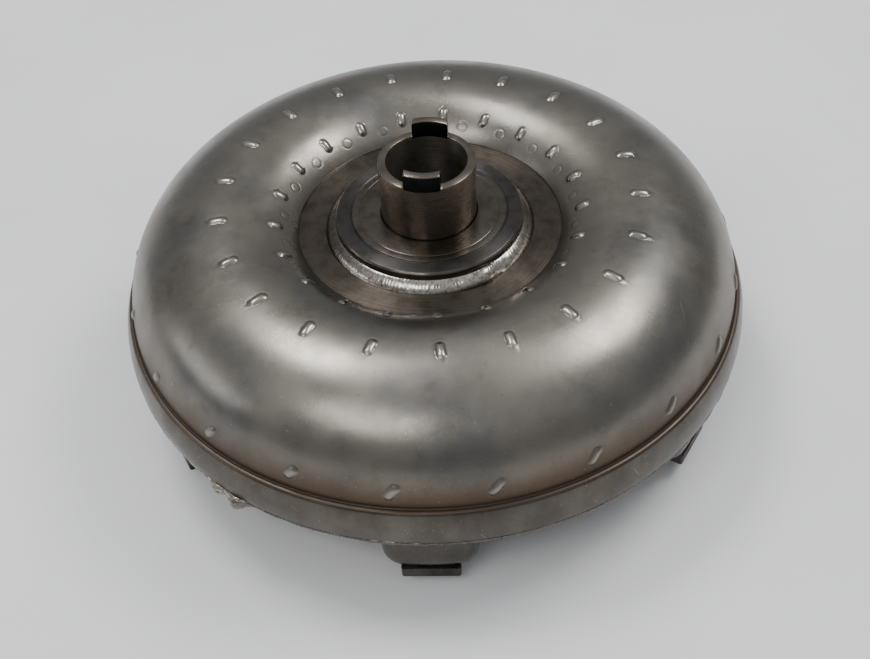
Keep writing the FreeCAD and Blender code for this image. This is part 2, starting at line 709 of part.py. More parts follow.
# ================================================================ turbine
def turbine_tabs():
    pieces = []
    for ray in TURBINE_TABS:
        pieces.append(
            tab(TURBINE, turbine_swing, ray, TAB_LENGTH, TURBINE_VANE_T, TURBINE_T + TAB_PROUD)
        )
    return pieces


def turbine_core_tabs():
    pieces = []
    for ray in CORE_TABS:
        pieces.append(
            tab(TURBINE, turbine_swing, ray, CORE_TAB_LENGTH, TURBINE_VANE_T, CORE_T + TAB_PROUD, True)
        )
    return pieces


def turbine_shell():
    inner = TURBINE.arcs(0.0)
    outer = [reversed_edge(e) for e in reversed(TURBINE.arcs(TURBINE_T, EYE_FLAT_RISE + TURBINE_T))]
    top_z = CIRCUIT_Z - WHEEL_GAP / 2
    profile = [
        line(at(TURBINE_RIM_R + TURBINE_T, CIRCUIT_Z), at(TURBINE_RIM_R, CIRCUIT_Z)),
    ] + inner + [
        line(ends(inner[-1])[1], at(TURBINE_SPIGOT_R, TURBINE_FLAT_Z)),
        line(at(TURBINE_SPIGOT_R, FLANGE_TOP_Z), ends(outer[0])[0]),
    ] + outer
    shell = turned(closed_section(profile))
    above = tube(2 * LIP_OUTER_R, CORE_POS_R, top_z, CIRCUIT_Z + 1.0)
    holes = spun(rivet_hole(), RIVETS)
    slots = []
    for piece in turbine_tabs():
        slots += spun(piece, TURBINE_VANES)
    return shell.cut([above] + holes + slots)


def turbine_vanes():
    outlet = math.degrees(math.asin(WHEEL_GAP / 2 / (TURBINE_RIM_R - CORE_POS_R)))
    one = vane(TURBINE, turbine_swing, TURBINE_VANE_T, TURBINE_OUTLET, TURBINE_OUTLET, outlet)
    one = fused(one, turbine_tabs() + turbine_core_tabs())
    return Part.makeCompound(spun(one, TURBINE_VANES))


def turbine_core_ring():
    return core_ring(TURBINE, turbine_core_tabs(), TURBINE_VANES, 0.0)


def rivet_hole():
    return Part.makeCylinder(RIVET_R, FULL, at(RIVET_POS_R, 0))


def spline(teeth, root_r, tip_r, low, high):
    """A toothed prism: the shape of the splined hole, with straight-sided spaces."""
    points = []
    pitch = FULL / teeth
    for i in range(teeth):
        for radius, share in ((tip_r, -0.30), (root_r, -0.20), (root_r, 0.20), (tip_r, 0.30)):
            points.append(at(radius, low, (i + share) * pitch))
    return Part.Face(Part.makePolygon(points + [points[0]])).extrude(Vector(0, 0, high - low))


def turbine_hub():
    bore = TURBINE_SPLINE[2] - 1.0
    body = turned(outline([
        (bore, TURBINE_FOOT_Z),
        (TURBINE_FOOT_R, TURBINE_FOOT_Z),
        (TURBINE_FOOT_R, FLANGE_LOW_Z),
        (TURBINE_FLANGE_R, FLANGE_LOW_Z),
        (TURBINE_FLANGE_R, FLANGE_TOP_Z),
        (TURBINE_SPIGOT_R, FLANGE_TOP_Z),
        (TURBINE_SPIGOT_R, TURBINE_SEAT_Z),
        (bore, TURBINE_SEAT_Z),
    ]))
    teeth = spline(*TURBINE_SPLINE, TURBINE_FOOT_Z - 1.0, TURBINE_SEAT_Z + 1.0)
    return body.cut([teeth] + spun(rivet_hole(), RIVETS))


def turbine_rivets():
    grip_low, grip_high = FLANGE_LOW_Z, TURBINE_FLAT_Z
    half = [
        (0, grip_low - RIVET_HEAD_H),
        (RIVET_HEAD_R * 0.7, grip_low - RIVET_HEAD_H),
        (RIVET_HEAD_R, grip_low - RIVET_HEAD_H * 0.3),
        (RIVET_HEAD_R, grip_low),
        (RIVET_R, grip_low),
        (RIVET_R, grip_high),
        (RIVET_HEAD_R, grip_high),
        (RIVET_HEAD_R, grip_high + RIVET_HEAD_H * 0.3),
        (RIVET_HEAD_R * 0.7, grip_high + RIVET_HEAD_H),
        (0, grip_high + RIVET_HEAD_H),
    ]
    rivet = turned(outline(half))
    rivet.translate(Vector(RIVET_POS_R, 0, 0))
    return Part.makeCompound(spun(rivet, RIVETS))


# ================================================================ one-way clutch
RAMP_PER_DEGREE = RAMP_RISE / POCKET_ANGLE
ROLLER_FROM_END = math.degrees(math.asin(ROLLER_R / ROLLER_POS_R)) + 1.5


def ramp_r(angle):
    """Radius of a pocket's roof: it just clears the roller at rest and falls with growing angle."""
    touch = ROLLER_POS_R + ROLLER_R + FIT_GAP
    return touch + RAMP_PER_DEGREE * (POCKET_ANGLE / 2 - ROLLER_FROM_END - angle)


def pocket():
    half = POCKET_ANGLE / 2
    low = CAM_LOW - 1.0
    roof = Part.Arc(at(ramp_r(-half), low, -half), at(ramp_r(0), low), at(ramp_r(half), low, half)).toShape()
    floor_r = RACE_R - 1.0
    a, b = at(floor_r, low, half), at(floor_r, low, -half)
    sides = [line(ends(roof)[1], a), line(a, b), line(b, ends(roof)[0])]
    return Part.Face(Part.Wire([roof] + sides)).extrude(Vector(0, 0, CAM_H + 2.0))


def clutch_outer_race():
    ring = tube(CAM_R, RACE_R + CAM_LAND_GAP, CAM_LOW, CAM_HIGH)
    return ring.cut(spun(pocket(), CLUTCH_ROLLERS))


def clutch_rollers():
    length = CAM_H - 2 * ROLLER_END_GAP
    where = at(ROLLER_POS_R, CAM_LOW + ROLLER_END_GAP, POCKET_ANGLE / 2 - ROLLER_FROM_END)
    return Part.makeCompound(spun(Part.makeCylinder(ROLLER_R, length, where), CLUTCH_ROLLERS))


def clutch_springs():
    """Folded strips that push each roller up its ramp: a zigzag band, drawn in plan."""
    half = POCKET_ANGLE / 2
    roller_side = half - 2 * ROLLER_FROM_END
    reach = ROLLER_R * SPRING_REACH
    room = math.radians(roller_side + half) * (ROLLER_POS_R - reach)
    pitch = (room - SPRING_STRIP - 2 * FIT_GAP) / SPRING_LEGS
    legs = []
    for i in range(SPRING_LEGS):
        start = -room / 2 + FIT_GAP + i * pitch
        side = reach if i % 2 else -reach
        loop = [
            Vector(side, start, 0),
            Vector(side, start + SPRING_STRIP, 0),
            Vector(-side, start + pitch + SPRING_STRIP, 0),
            Vector(-side, start + pitch, 0),
        ]
        legs.append(Part.Face(Part.makePolygon(loop + [loop[0]])).extrude(Vector(0, 0, SPRING_W)))
    strip = legs[0].multiFuse(legs[1:]).removeSplitter()
    strip.translate(Vector(ROLLER_POS_R, 0, CIRCUIT_Z - SPRING_W / 2))
    strip.rotate(ORIGIN, AXIS, (roller_side - half) / 2)
    return Part.makeCompound(spun(strip, CLUTCH_ROLLERS))


def clutch_inner_race():
    low, high = PLATE_LOW + END_PLAY, PLATE_HIGH - END_PLAY
    ring = tube(RACE_R, STATOR_SPLINE[2] - 1.0, low, high)
    return ring.cut(spline(*STATOR_SPLINE, low - 1.0, high + 1.0))


def end_plate(low, high):
    """Bearing plate that closes the clutch and carries the stator on the inner race."""
    return tube(CAM_R, RACE_R + FIT_GAP, low, high)


def snap_ring(low):
    ring = tube(SNAP_OUT_R, SNAP_IN_R, low, low + SNAP_T)
    gap = block(SNAP_W * 3, SNAP_GAP, low - 1.0, low + SNAP_T + 1.0)
    gap.translate(Vector(CAM_R, 0, 0))
    return ring.cut(gap)


def stator_snap_rings():
    return Part.makeCompound([snap_ring(PLATE_LOW - SNAP_T), snap_ring(PLATE_HIGH)])


# ================================================================ stator wheel
def stator_section(r, chord):
    """Closed outline of a stator vane at radius r, in the plane across the radius: round nose
    towards the turbine, thin tail towards the impeller."""
    nose, tail = STATOR_NOSE_R, STATOR_TAIL / 2
    low = CIRCUIT_Z - chord / 2

    def camber(share):
        return STATOR_TURN * share**2

    back, belly = [], []
    for share in (0.12, 0.4, 0.7, 1.0):
        z = low + share * chord
        thick = tail + (nose - tail) * (1 - share) ** 0.7 * 1.05
        back.append(Vector(r, camber(share) - thick, z))
        belly.append(Vector(r, camber(share) + thick, z))
    top = line(back[-1], belly[-1])
    left, right = Part.BSplineCurve(), Part.BSplineCurve()
    left.interpolate(back)
    right.interpolate(belly[::-1])
    cap = Part.Arc(belly[0], Vector(r, camber(0), low), back[0]).toShape()
    return Part.Wire([left.toShape(), top, right.toShape(), cap])


def stator_wheel():
    ring_low, ring_high = PLATE_LOW - SNAP_T - 0.4, PLATE_HIGH + SNAP_T + 0.4
    inner = tube(STATOR_HUB_R, CAM_R, ring_low, ring_high)
    ring_r = CORE_POS_R - CORE_R
    outer = tube(ring_r + STATOR_RING_T, ring_r, CIRCUIT_Z - STATOR_RING_HALF, CIRCUIT_Z + STATOR_RING_HALF)
    root = stator_section(STATOR_HUB_R - STATOR_RING_T, STATOR_HUB_CHORD)
    tip = stator_section(ring_r + STATOR_RING_T, STATOR_TIP_CHORD)
    blade = Part.makeLoft([root, tip], True, True)
    blades = spun(blade, STATOR_VANES)
    envelope = tube(ring_r + STATOR_RING_T / 2, STATOR_HUB_R - 2.0, ring_low, ring_high)
    wheel = inner.multiFuse([outer] + [b.common(envelope) for b in blades])
    grooves = [
        tube(SNAP_OUT_R, SNAP_IN_R, PLATE_LOW - SNAP_T, PLATE_LOW),
        tube(SNAP_OUT_R, SNAP_IN_R, PLATE_HIGH, PLATE_HIGH + SNAP_T),
    ]
    return wheel.cut(grooves)


# ================================================================ thrust bearings
def bearing(middle, side):
    """Outer washer, stator washer, cage and needles, about the plane at height middle. The outer
    washer is on the side away from the stator."""
    reach = NEEDLE_D / 2 + PLAY
    parts = {}
    for name, way in (("outer", side), ("stator", -side)):
        a, b = middle + way * reach, middle + way * (reach + WASHER_T)
        parts[name] = tube(BEARING_OUT_R, BEARING_IN_R, min(a, b), max(a, b))
    centre = (BEARING_IN_R + BEARING_OUT_R) / 2
    cage = tube(BEARING_OUT_R - 1.0, BEARING_IN_R + 1.0, middle - CAGE_T / 2, middle + CAGE_T / 2)
    slot = block(NEEDLE_L + 2 * CAGE_GAP, NEEDLE_D + 2 * CAGE_GAP, middle - CAGE_T, middle + CAGE_T)
    slot.translate(Vector(centre, 0, 0))
    parts["cage"] = cage.cut(spun(slot, NEEDLES))
    needle = Part.makeCylinder(NEEDLE_D / 2, NEEDLE_L, Vector(centre - NEEDLE_L / 2, 0, middle), Vector(1, 0, 0))
    parts["needles"] = Part.makeCompound(spun(needle, NEEDLES))
    return parts


# ================================================================ the assembly
def build():
    nodes = {
        "impeller_shell": impeller_shell(),
        "impeller_vanes": impeller_vanes(),
        "impeller_core_ring": impeller_core_ring(),
        "impeller_hub": impeller_hub(),
        "hub_flange": hub_flange(),
        "hub_weld": hub_weld(),
        "front_cover": front_cover(),
        "drive_lugs": drive_lugs(),
        "lug_welds": lug_welds(),
        "crank_pilot": crank_pilot(),
        "pilot_weld": pilot_weld(),
        "balance_weight": balance_weight(),
        "cover_thrust_washer": cover_thrust_washer(),
        "turbine_shell": turbine_shell(),
        "turbine_vanes": turbine_vanes(),
        "turbine_core_ring": turbine_core_ring(),
        "turbine_hub": turbine_hub(),
        "turbine_rivets": turbine_rivets(),
        "stator_wheel": stator_wheel(),
        "stator_snap_rings": stator_snap_rings(),
        "clutch_outer_race": clutch_outer_race(),
        "clutch_inner_race": clutch_inner_race(),
        "clutch_rollers": clutch_rollers(),
        "clutch_springs": clutch_springs(),
        "end_plate_turbine_side": end_plate(PLATE_LOW, CAM_LOW),
        "end_plate_impeller_side": end_plate(CAM_HIGH, PLATE_HIGH),
    }
    nodes["girth_weld"] = girth_weld(nodes["impeller_shell"], nodes["front_cover"])
    stack = WASHER_T + PLAY + NEEDLE_D / 2
    names = {
        "impeller_side": (bearing(PLATE_HIGH + stack, +1), "hub_bearing"),
        "turbine_side": (bearing(PLATE_LOW - stack, -1), "turbine_bearing"),
    }
    for parts, name in names.values():
        nodes[f"{name}_outer_washer"] = parts["outer"]
        nodes[f"{name}_stator_washer"] = parts["stator"]
        nodes[f"{name}_cage"] = parts["cage"]
        nodes[f"{name}_needles"] = parts["needles"]
    return nodes


def main():
    os.makedirs("parts", exist_ok=True)
    for name, shape in build().items():
        shape.exportStep(f"parts/{name}.step")
        print(name, "solids", len(shape.Solids), "valid", shape.isValid(), "cm3", round(shape.Volume / 1000, 2))


if __name__ == "__main__":
    main()
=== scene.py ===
"""Finish of a welded torque converter: pressed shell, drive hub, weld beads, lugs and their metals."""

import math

import bmesh
import bpy
import numpy as np
from bpy.props import FloatProperty, IntProperty, PointerProperty, StringProperty
from mathutils import Matrix, Vector


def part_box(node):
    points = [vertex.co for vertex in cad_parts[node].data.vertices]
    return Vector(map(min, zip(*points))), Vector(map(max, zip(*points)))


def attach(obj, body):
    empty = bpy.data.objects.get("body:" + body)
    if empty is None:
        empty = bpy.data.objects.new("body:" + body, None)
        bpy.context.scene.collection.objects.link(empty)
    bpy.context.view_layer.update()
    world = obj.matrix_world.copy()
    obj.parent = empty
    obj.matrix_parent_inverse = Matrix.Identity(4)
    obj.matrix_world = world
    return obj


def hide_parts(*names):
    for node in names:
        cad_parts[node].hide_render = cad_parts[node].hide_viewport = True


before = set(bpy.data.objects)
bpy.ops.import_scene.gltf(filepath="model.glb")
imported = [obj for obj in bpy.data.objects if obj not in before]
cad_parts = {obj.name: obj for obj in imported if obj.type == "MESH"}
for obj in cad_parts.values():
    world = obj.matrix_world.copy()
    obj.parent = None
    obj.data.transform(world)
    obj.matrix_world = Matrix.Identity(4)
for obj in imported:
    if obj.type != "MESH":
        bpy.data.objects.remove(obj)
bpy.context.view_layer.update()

bl_info = {
    "name": "Torque converter finish",
    "version": (1, 0, 0),
    "blender": (4, 5, 0),
    "location": "View3D > Sidebar > Converter",
    "description": "Builds the visible pieces of a torque converter and gives every part its metal",
    "category": "Object",
}

MM = 0.001
TURN = 2 * math.pi


# ---------------------------------------------------------------- sizes and colours
def length(name, description, millimetres):
    """A size that a user can change, given in millimetres and held in metres."""
    return FloatProperty(name=name, description=description, default=millimetres * MM, unit="LENGTH")


def angle(name, description, degrees):
    """A direction or turn that a user can change, given in degrees and held in radians."""
    return FloatProperty(name=name, description=description, default=math.radians(degrees), unit="ROTATION")


def finish_colour(name, description, value):
    """A colour that a user can change, as an sRGB hex value."""
    return StringProperty(name=name, description=description + ", sRGB hex", default=value)


def low(node):
    """Lowest corner of a part's box."""
    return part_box(node)[0]


def high(node):
    """Highest corner of a part's box."""
    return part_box(node)[1]


class ShellSizes(bpy.types.PropertyGroup):
    """Sizes of the pressed shell"""

    wall: length("Wall", "Sheet thickness", 4.0)
    half_width: length("Half width", "Depth of the dish at its crown, on the fluid side", 42.5)
    rim_r: length("Rim radius", "Largest radius of the fluid side", 150.5)
    rim_bend: length("Rim bend", "Bend radius at the rim, fluid side", 38.0)
    crown_r: length("Crown radius", "Radius of the circle along the crown", 100.0)
    eye_bend: length("Eye bend", "Bend radius from the crown down to the hub", 38.7)
    seat_step: length("Seat step", "Depth of the machined ring round the hub", 1.0)
    lip_out: length("Lip offset", "How far the lip's inside stands out from the rim", 5.5)
    lip_height: length("Lip height", "Middle plane above the lip's lower edge", 19.1)
    lip_t: length("Lip thickness", "Thickness of the lip that laps the cover", 4.0)
    lip_taper: length("Lip taper", "How far the lip's top leans in", 3.1)
    lip_top_drop: length("Lip top", "Lip's top below the middle plane", 0.7)
    vanes: IntProperty(name="Vanes", description="Vane marks in each ring", default=21)
    vanes_at: angle("Vane clocking", "Where the ring of marks starts", 85.5)
    sweep: angle("Sweep", "Turn back of the outer marks", 9.5)
    outer_ring_r: length("Outer ring", "Radius of the outer ring of vane marks", 153.43)
    mid_ring_r: length("Middle ring", "Radius of the middle ring of vane marks", 104.3)
    inner_ring_r: length("Inner ring", "Radius of the inner ring of vane marks", 76.1)
    pip_ring_r: length("Pip ring", "Radius of the ring of small round marks", 72.4)
    slant: angle("Slant", "Lean of the outer marks from the meridian", 40.0)
    mark_length: length("Mark length", "Length of a pressed vane mark", 9.8)
    mark_width: length("Mark width", "Width of a pressed vane mark", 4.7)
    mark_height: length("Mark height", "Height of a pressed vane mark", 1.1)
    pip_r: length("Pip radius", "Radius of the small round marks", 2.7)
    waviness: length("Waviness", "Depth of the unevenness that pressing leaves", 0.09)


class HubSizes(bpy.types.PropertyGroup):
    """Sizes of the drive hub"""

    bore_r: length("Bore radius", "Inside of the drive hub", 19.7)
    journal_r: length("Journal radius", "Outside of the drive hub", 23.8)
    tang_height: length("Tang height", "Height of the drive tangs", 7.8)
    tang_width: length("Tang width", "Width across a drive tang", 17.5)
    tangs_at: angle("Tang clocking", "Direction of the first tang", 85.7)
    flange_r: length("Flange radius", "Outside of the hub's flange", 47.0)
    disc_r: length("Disc radius", "Outside of the bright turned disc", 38.6)
    disc_step: length("Disc step", "Height of the turned disc above the dark ring", 0.4)


class WeldSizes(bpy.types.PropertyGroup):
    """Sizes of the weld beads"""

    ripple: length("Ripple", "Spacing of the ripples along a bead", 1.7)
    # Middle of the hub bead's painted highlight: the bead is painted bright round this side and painted dark
    # round the rest.
    hub_highlight_at: angle("Brushed side", "Middle of the side where the hub's bead was brushed", -78.0)
    hub_width: length("Hub bead width", "Leg of the hub's bead along the shell", 5.6)
    hub_height: length("Hub bead height", "Leg of the hub's bead up the flange", 4.9)
    hub_stop_at: angle("Hub bead stop", "Where the hub's bead starts and overlaps", -57.0)
    rim_stop_at: angle("Rim bead stop", "Where the rim's bead starts and overlaps", -125.0)
    rim_width: length("Rim bead width", "Leg of the rim's bead along the cover", 3.95)
    rim_height: length("Rim bead height", "Leg of the rim's bead down the cover", 4.3)


class StageSizes(bpy.types.PropertyGroup):
    """Place and lens of the camera"""

    distance: FloatProperty(name="Distance", description="Camera to the outer marks' plane", default=0.6289)
    aim_height: length("Aim height", "Height of the plane the camera turns about", 76.5)
    turn: angle("Turn", "Direction of the camera round the object", -86.7)
    rise: angle("Rise", "Camera's elevation", 42.31)
    tip: angle("Tip", "How far the camera looks below its aim", 3.67)
    pan: angle("Pan", "How far the camera looks to the left of its aim", 0.052)
    roll: angle("Roll", "Camera's roll", 3.30)
    lens: FloatProperty(name="Lens", description="Focal length on a 36 mm sensor", default=50.35)


class FinishColours(bpy.types.PropertyGroup):
    """Colours of the main finishes"""

    pressed: finish_colour("Pressed steel", "Bare drawn steel", "#827D75")
    stained: finish_colour("Stained steel", "Oil and light rust above the lip", "#54463A")
    tinted: finish_colour("Tinted steel", "Blue-grey heat tint", "#656565")
    turned: finish_colour("Turned steel", "Lathe-turned steel", "#8D857B")
    blackened: finish_colour("Blackened steel", "Hardened ring", "#504D4B")
    weld: finish_colour("Weld metal", "Brushed weld metal", "#B0AAA2")
    scale: finish_colour("Mill scale", "Hot-rolled lug steel", "#5A5653")
    floor: finish_colour("Floor", "Pale floor", "#F3F3F3")


# ---------------------------------------------------------------- materials
def linear(hex_colour):
    """An sRGB hex value as linear red, green, blue and alpha."""
    channels = [int(hex_colour[i : i + 2], 16) / 255 for i in (1, 3, 5)]
    return [c / 12.92 if c <= 0.04045 else ((c + 0.055) / 1.055) ** 2.4 for c in channels] + [1.0]


def add(tree, kind, inputs=None, **settings):
    """Adds a node with its settings; inputs are values or the sockets that feed them."""
    made = tree.nodes.new("ShaderNode" + kind)
    for key, value in settings.items():
        setattr(made, key, value)
    for key, value in (inputs or {}).items():
        if isinstance(value, bpy.types.NodeSocket):
            tree.links.new(value, made.inputs[key])
        else:
            made.inputs[key].default_value = value
    return made


def new_material(name):
    """A material with a Principled shader, as (material, tree, shader, place), place in metres."""
    made = bpy.data.materials.new(name)
    made.use_nodes = True
    tree = made.node_tree
    shader = tree.nodes["Principled BSDF"]
    place = add(tree, "TexCoord").outputs["Object"]
    return made, tree, shader, place


def blend_colours(tree, fac, a, b):
    """Colour a where fac is 0, colour b where it is 1."""
    mixed = add(tree, "Mix", {0: fac, 6: a, 7: b}, data_type="RGBA")
    return mixed.outputs[2]


def ramp(tree, value, start, end, low_value=0.0, high_value=1.0):
    """Carries a value smoothly from one number to another between start and end."""
    made = add(
        tree,
        "MapRange",
        {"Value": value, "From Min": start, "From Max": end, "To Min": low_value, "To Max": high_value},
        interpolation_type="SMOOTHSTEP",
    )
    return made.outputs["Result"]


def math_node(tree, operation, a, b=0.0):
    """Result of one sum or function of a and b."""
    return add(tree, "Math", {0: a, 1: b}, operation=operation).outputs[0]


def cloud(tree, place, size_mm, detail=4.0, roughness=0.55, stretch=(1, 1, 1), seed=0.0, turn=(0, 0, 0)):
    """Soft noise whose patches are about size_mm across; stretch and turn draw them out into streaks."""
    turned = add(tree, "Mapping", {"Vector": place, "Rotation": turn}).outputs[0]
    scale = [s / (size_mm * MM) for s in stretch]
    offset = (seed, seed * 0.7, -seed)
    moved = add(tree, "Mapping", {"Vector": turned, "Scale": scale, "Location": offset}).outputs[0]
    noise = {"Vector": moved, "Scale": 1.0, "Detail": detail, "Roughness": roughness}
    return add(tree, "TexNoise", noise).outputs["Fac"]


def polar(tree, place):
    """(radius, direction, height) of a place about the shaft axis."""
    parts = add(tree, "SeparateXYZ", {0: place}).outputs
    radius = math_node(tree, "SQRT", math_node(tree, "ADD", math_node(tree, "MULTIPLY", parts[0], parts[0]),
                                               math_node(tree, "MULTIPLY", parts[1], parts[1])))
    return radius, math_node(tree, "ARCTAN2", parts[1], parts[0]), parts[2]


def finish_metal(tree, shader, colour, rough, rise, depth_mm, strength=1.0):
    """Wires a metal's colour, roughness and the rise and fall of its surface to the shader."""
    bump = add(tree, "Bump", {"Height": rise, "Distance": depth_mm * MM, "Strength": strength})
    tree.links.new(colour, shader.inputs["Base Color"])
    tree.links.new(rough, shader.inputs["Roughness"])
    tree.links.new(bump.outputs[0], shader.inputs["Normal"])
    shader.inputs["Metallic"].default_value = 1.0


def lip_top_height(shell):
    """Height of the lip's top edge."""
    return low("impeller_shell").z + shell.lip_height - shell.lip_top_drop


def stained_tone(tree, place, height, lip_top, colours):
    """(colour, stain) of the drawn sheet: heat tint, smudges, the stain above the lip and the lip's dirt."""
    clouds = cloud(tree, place, 60, 5.0, 0.6)
    tint = ramp(tree, clouds, 0.45, 0.7, 0.0, 0.7)
    colour = blend_colours(tree, tint, linear(colours.pressed), linear(colours.tinted))
    smudge = cloud(tree, place, 16, 8.0, 0.65, seed=3.0)
    dark = ramp(tree, smudge, 0.52, 0.75, 0.0, 0.35)
    colour = blend_colours(tree, dark, colour, linear(colours.stained))

    stain_noise = cloud(tree, place, 22, 6.0, 0.7, (1, 1, 0.4), 7.0)
    edge = math_node(tree, "ADD", height, math_node(tree, "MULTIPLY", stain_noise, -9 * MM))
    stain = ramp(tree, edge, lip_top - 1 * MM, lip_top + 19 * MM, 0.95, 0.0)
    above = ramp(tree, height, lip_top - 0.6 * MM, lip_top - 0.2 * MM)
    stain = math_node(tree, "MULTIPLY", stain, above)
    colour = blend_colours(tree, stain, colour, linear(colours.stained))
    lip_dirt = cloud(tree, place, 18, 4.0, 0.6, (1, 1, 0.6), 13.0)
    lip_dirt = math_node(tree, "MULTIPLY", ramp(tree, lip_dirt, 0.3, 0.7, 0.6, 0.85),
                         math_node(tree, "SUBTRACT", 1.0, above))
    return blend_colours(tree, lip_dirt, colour, linear(LIP_DIRT)), stain


def worn_tone(tree, place, radius, colour, colours):
    """Adds grime round the hub, scratches and specks to a colour."""
    grime_noise = cloud(tree, place, 9, 6.0, 0.7, seed=11.0)
    near_hub = ramp(tree, math_node(tree, "ADD", radius, math_node(tree, "MULTIPLY", grime_noise, 10 * MM)),
                    68 * MM, 76 * MM, 0.55, 0.0)
    colour = blend_colours(tree, near_hub, colour, linear(colours.blackened))

    for turn, seed in (((0.3, 0.2, 0.5), 21.0), ((1.2, -0.4, 2.1), 22.0), ((-0.7, 0.9, 1.3), 23.0)):
        lines = cloud(tree, place, 7, 2.0, 0.5, (0.12, 9, 9), seed, turn)
        marks = ramp(tree, lines, 0.73, 0.77, 0.0, 0.28)
        colour = blend_colours(tree, marks, colour, linear(SCRATCH))
    specks = ramp(tree, cloud(tree, place, 2.2, 3.0, 0.6, seed=31.0), 0.7, 0.76, 0.0, 0.5)
    return blend_colours(tree, specks, colour, linear(SPECK))


def drawn_relief(tree, place, radius, direction, height):
    """Rise of the drawn sheet: streaks down the meridians, fine grain and shallow dents."""
    wrapped = add(tree, "CombineXYZ", {0: radius, 1: math_node(tree, "MULTIPLY", direction, 0.12), 2: height})
    streak = cloud(tree, wrapped.outputs[0], 1.0, 3.0, 0.6, (0.12, 1.0, 0.12), 2.0)
    fine = cloud(tree, place, 1.2, 4.0, 0.6)
    dents = cloud(tree, place, 14, 3.0, 0.5, seed=9.0)
    grain = math_node(tree, "MULTIPLY", fine, 0.5)
    rise = math_node(tree, "ADD", math_node(tree, "MULTIPLY", streak, 0.5), grain)
    return math_node(tree, "ADD", rise, math_node(tree, "MULTIPLY", dents, 3.0))


def pressed_steel(colours, shell):
    """Deep-drawn mild steel, wiped with oil: a soft satin sheen with drawing marks, hand scratches,
    heat tint in clouds and a brown stain where oil sat above the lip; painted shade in the grooves round the
    marks and in the lip's corner, and a painted highlight on the marks' crowns."""
    made, tree, shader, place = new_material("deep_drawn_mild_steel")
    radius, direction, height = polar(tree, place)
    colour, stain = stained_tone(tree, place, height, lip_top_height(shell), colours)
    colour = worn_tone(tree, place, radius, colour, colours)

    # Painted shade: the grooves round the vane marks and the small round marks, and the lip's corner, take on
    # the dark mill-scale tone.
    groove_and_shade = add(tree, "Attribute", attribute_name="groove_and_shade").outputs["Fac"]
    colour = blend_colours(tree, math_node(tree, "MULTIPLY", groove_and_shade, 0.8), colour, linear(colours.scale))

    # Painted shade in the corner where the lip meets the shell: a still darker tone where the mask is full,
    # and a rougher surface there.
    corner = ramp(tree, groove_and_shade, 0.6, 0.95)
    colour = blend_colours(tree, math_node(tree, "MULTIPLY", corner, 0.5), colour, linear(LIP_CORNER_SHADE))

    # Painted highlight: the crowns of the vane marks are lightened, and their roughness is lowered.
    crown = add(tree, "Attribute", attribute_name="crown").outputs["Fac"]
    colour = blend_colours(tree, math_node(tree, "MULTIPLY", crown, 0.4), colour, linear(CROWN_HIGHLIGHT))
    rough = ramp(tree, cloud(tree, place, 25, 6.0, 0.6, seed=5.0), 0.3, 0.7, 0.25, 0.36)
    rough = math_node(tree, "ADD", rough, math_node(tree, "MULTIPLY", stain, 0.15))
    rough = math_node(tree, "SUBTRACT", rough, math_node(tree, "MULTIPLY", crown, 0.08))
    rough = math_node(tree, "ADD", rough, math_node(tree, "MULTIPLY", corner, 0.4))
    finish_metal(tree, shader, colour, rough, drawn_relief(tree, place, radius, direction, height), 0.03, 0.9)
    return made


def plain_metal(name, colour, second, roughness, grain_mm, depth_mm=0.01):
    """A metal with a clouded tone and a fine grain."""
    made, tree, shader, place = new_material(name)
    patches = ramp(tree, cloud(tree, place, 14, 6.0, 0.6), 0.35, 0.7)
    tone = blend_colours(tree, patches, linear(colour), linear(second))
    rough = ramp(tree, cloud(tree, place, 8, 5.0, 0.6, seed=4.0), 0.3, 0.7, roughness * 0.8, roughness * 1.25)
    grain = cloud(tree, place, grain_mm, 4.0, 0.6, seed=1.0)
    finish_metal(tree, shader, tone, rough, grain, depth_mm)
    return made


def turned_steel(name, colour, second, roughness, groove_mm=0.35, film=0.8):
    """Lathe-turned steel: fine rings about the shaft axis, and a brownish film of old oil."""
    made, tree, shader, place = new_material(name)
    radius, _, height = polar(tree, place)
    patches = ramp(tree, cloud(tree, place, 9, 7.0, 0.65), 0.38, 0.7, 0.0, film)
    tone = blend_colours(tree, patches, linear(colour), linear(second))
    along = math_node(tree, "ADD", radius, height)
    across_grooves = math_node(tree, "MULTIPLY", along, 1 / (groove_mm * MM))
    noise = add(tree, "TexNoise", {"W": across_grooves, "Scale": 1.0, "Detail": 2.0}, noise_dimensions="1D")
    rings = noise.outputs["Fac"]
    rough = ramp(tree, rings, 0.3, 0.7, roughness * 0.75, roughness * 1.2)
    way = add(tree, "Tangent", direction_type="RADIAL", axis="Z")
    tree.links.new(way.outputs[0], shader.inputs["Tangent"])
    shader.inputs["Anisotropic"].default_value = 0.85
    shader.inputs["Anisotropic Rotation"].default_value = 0.25
    finish_metal(tree, shader, tone, rough, rings, groove_mm * 0.02)
    return made


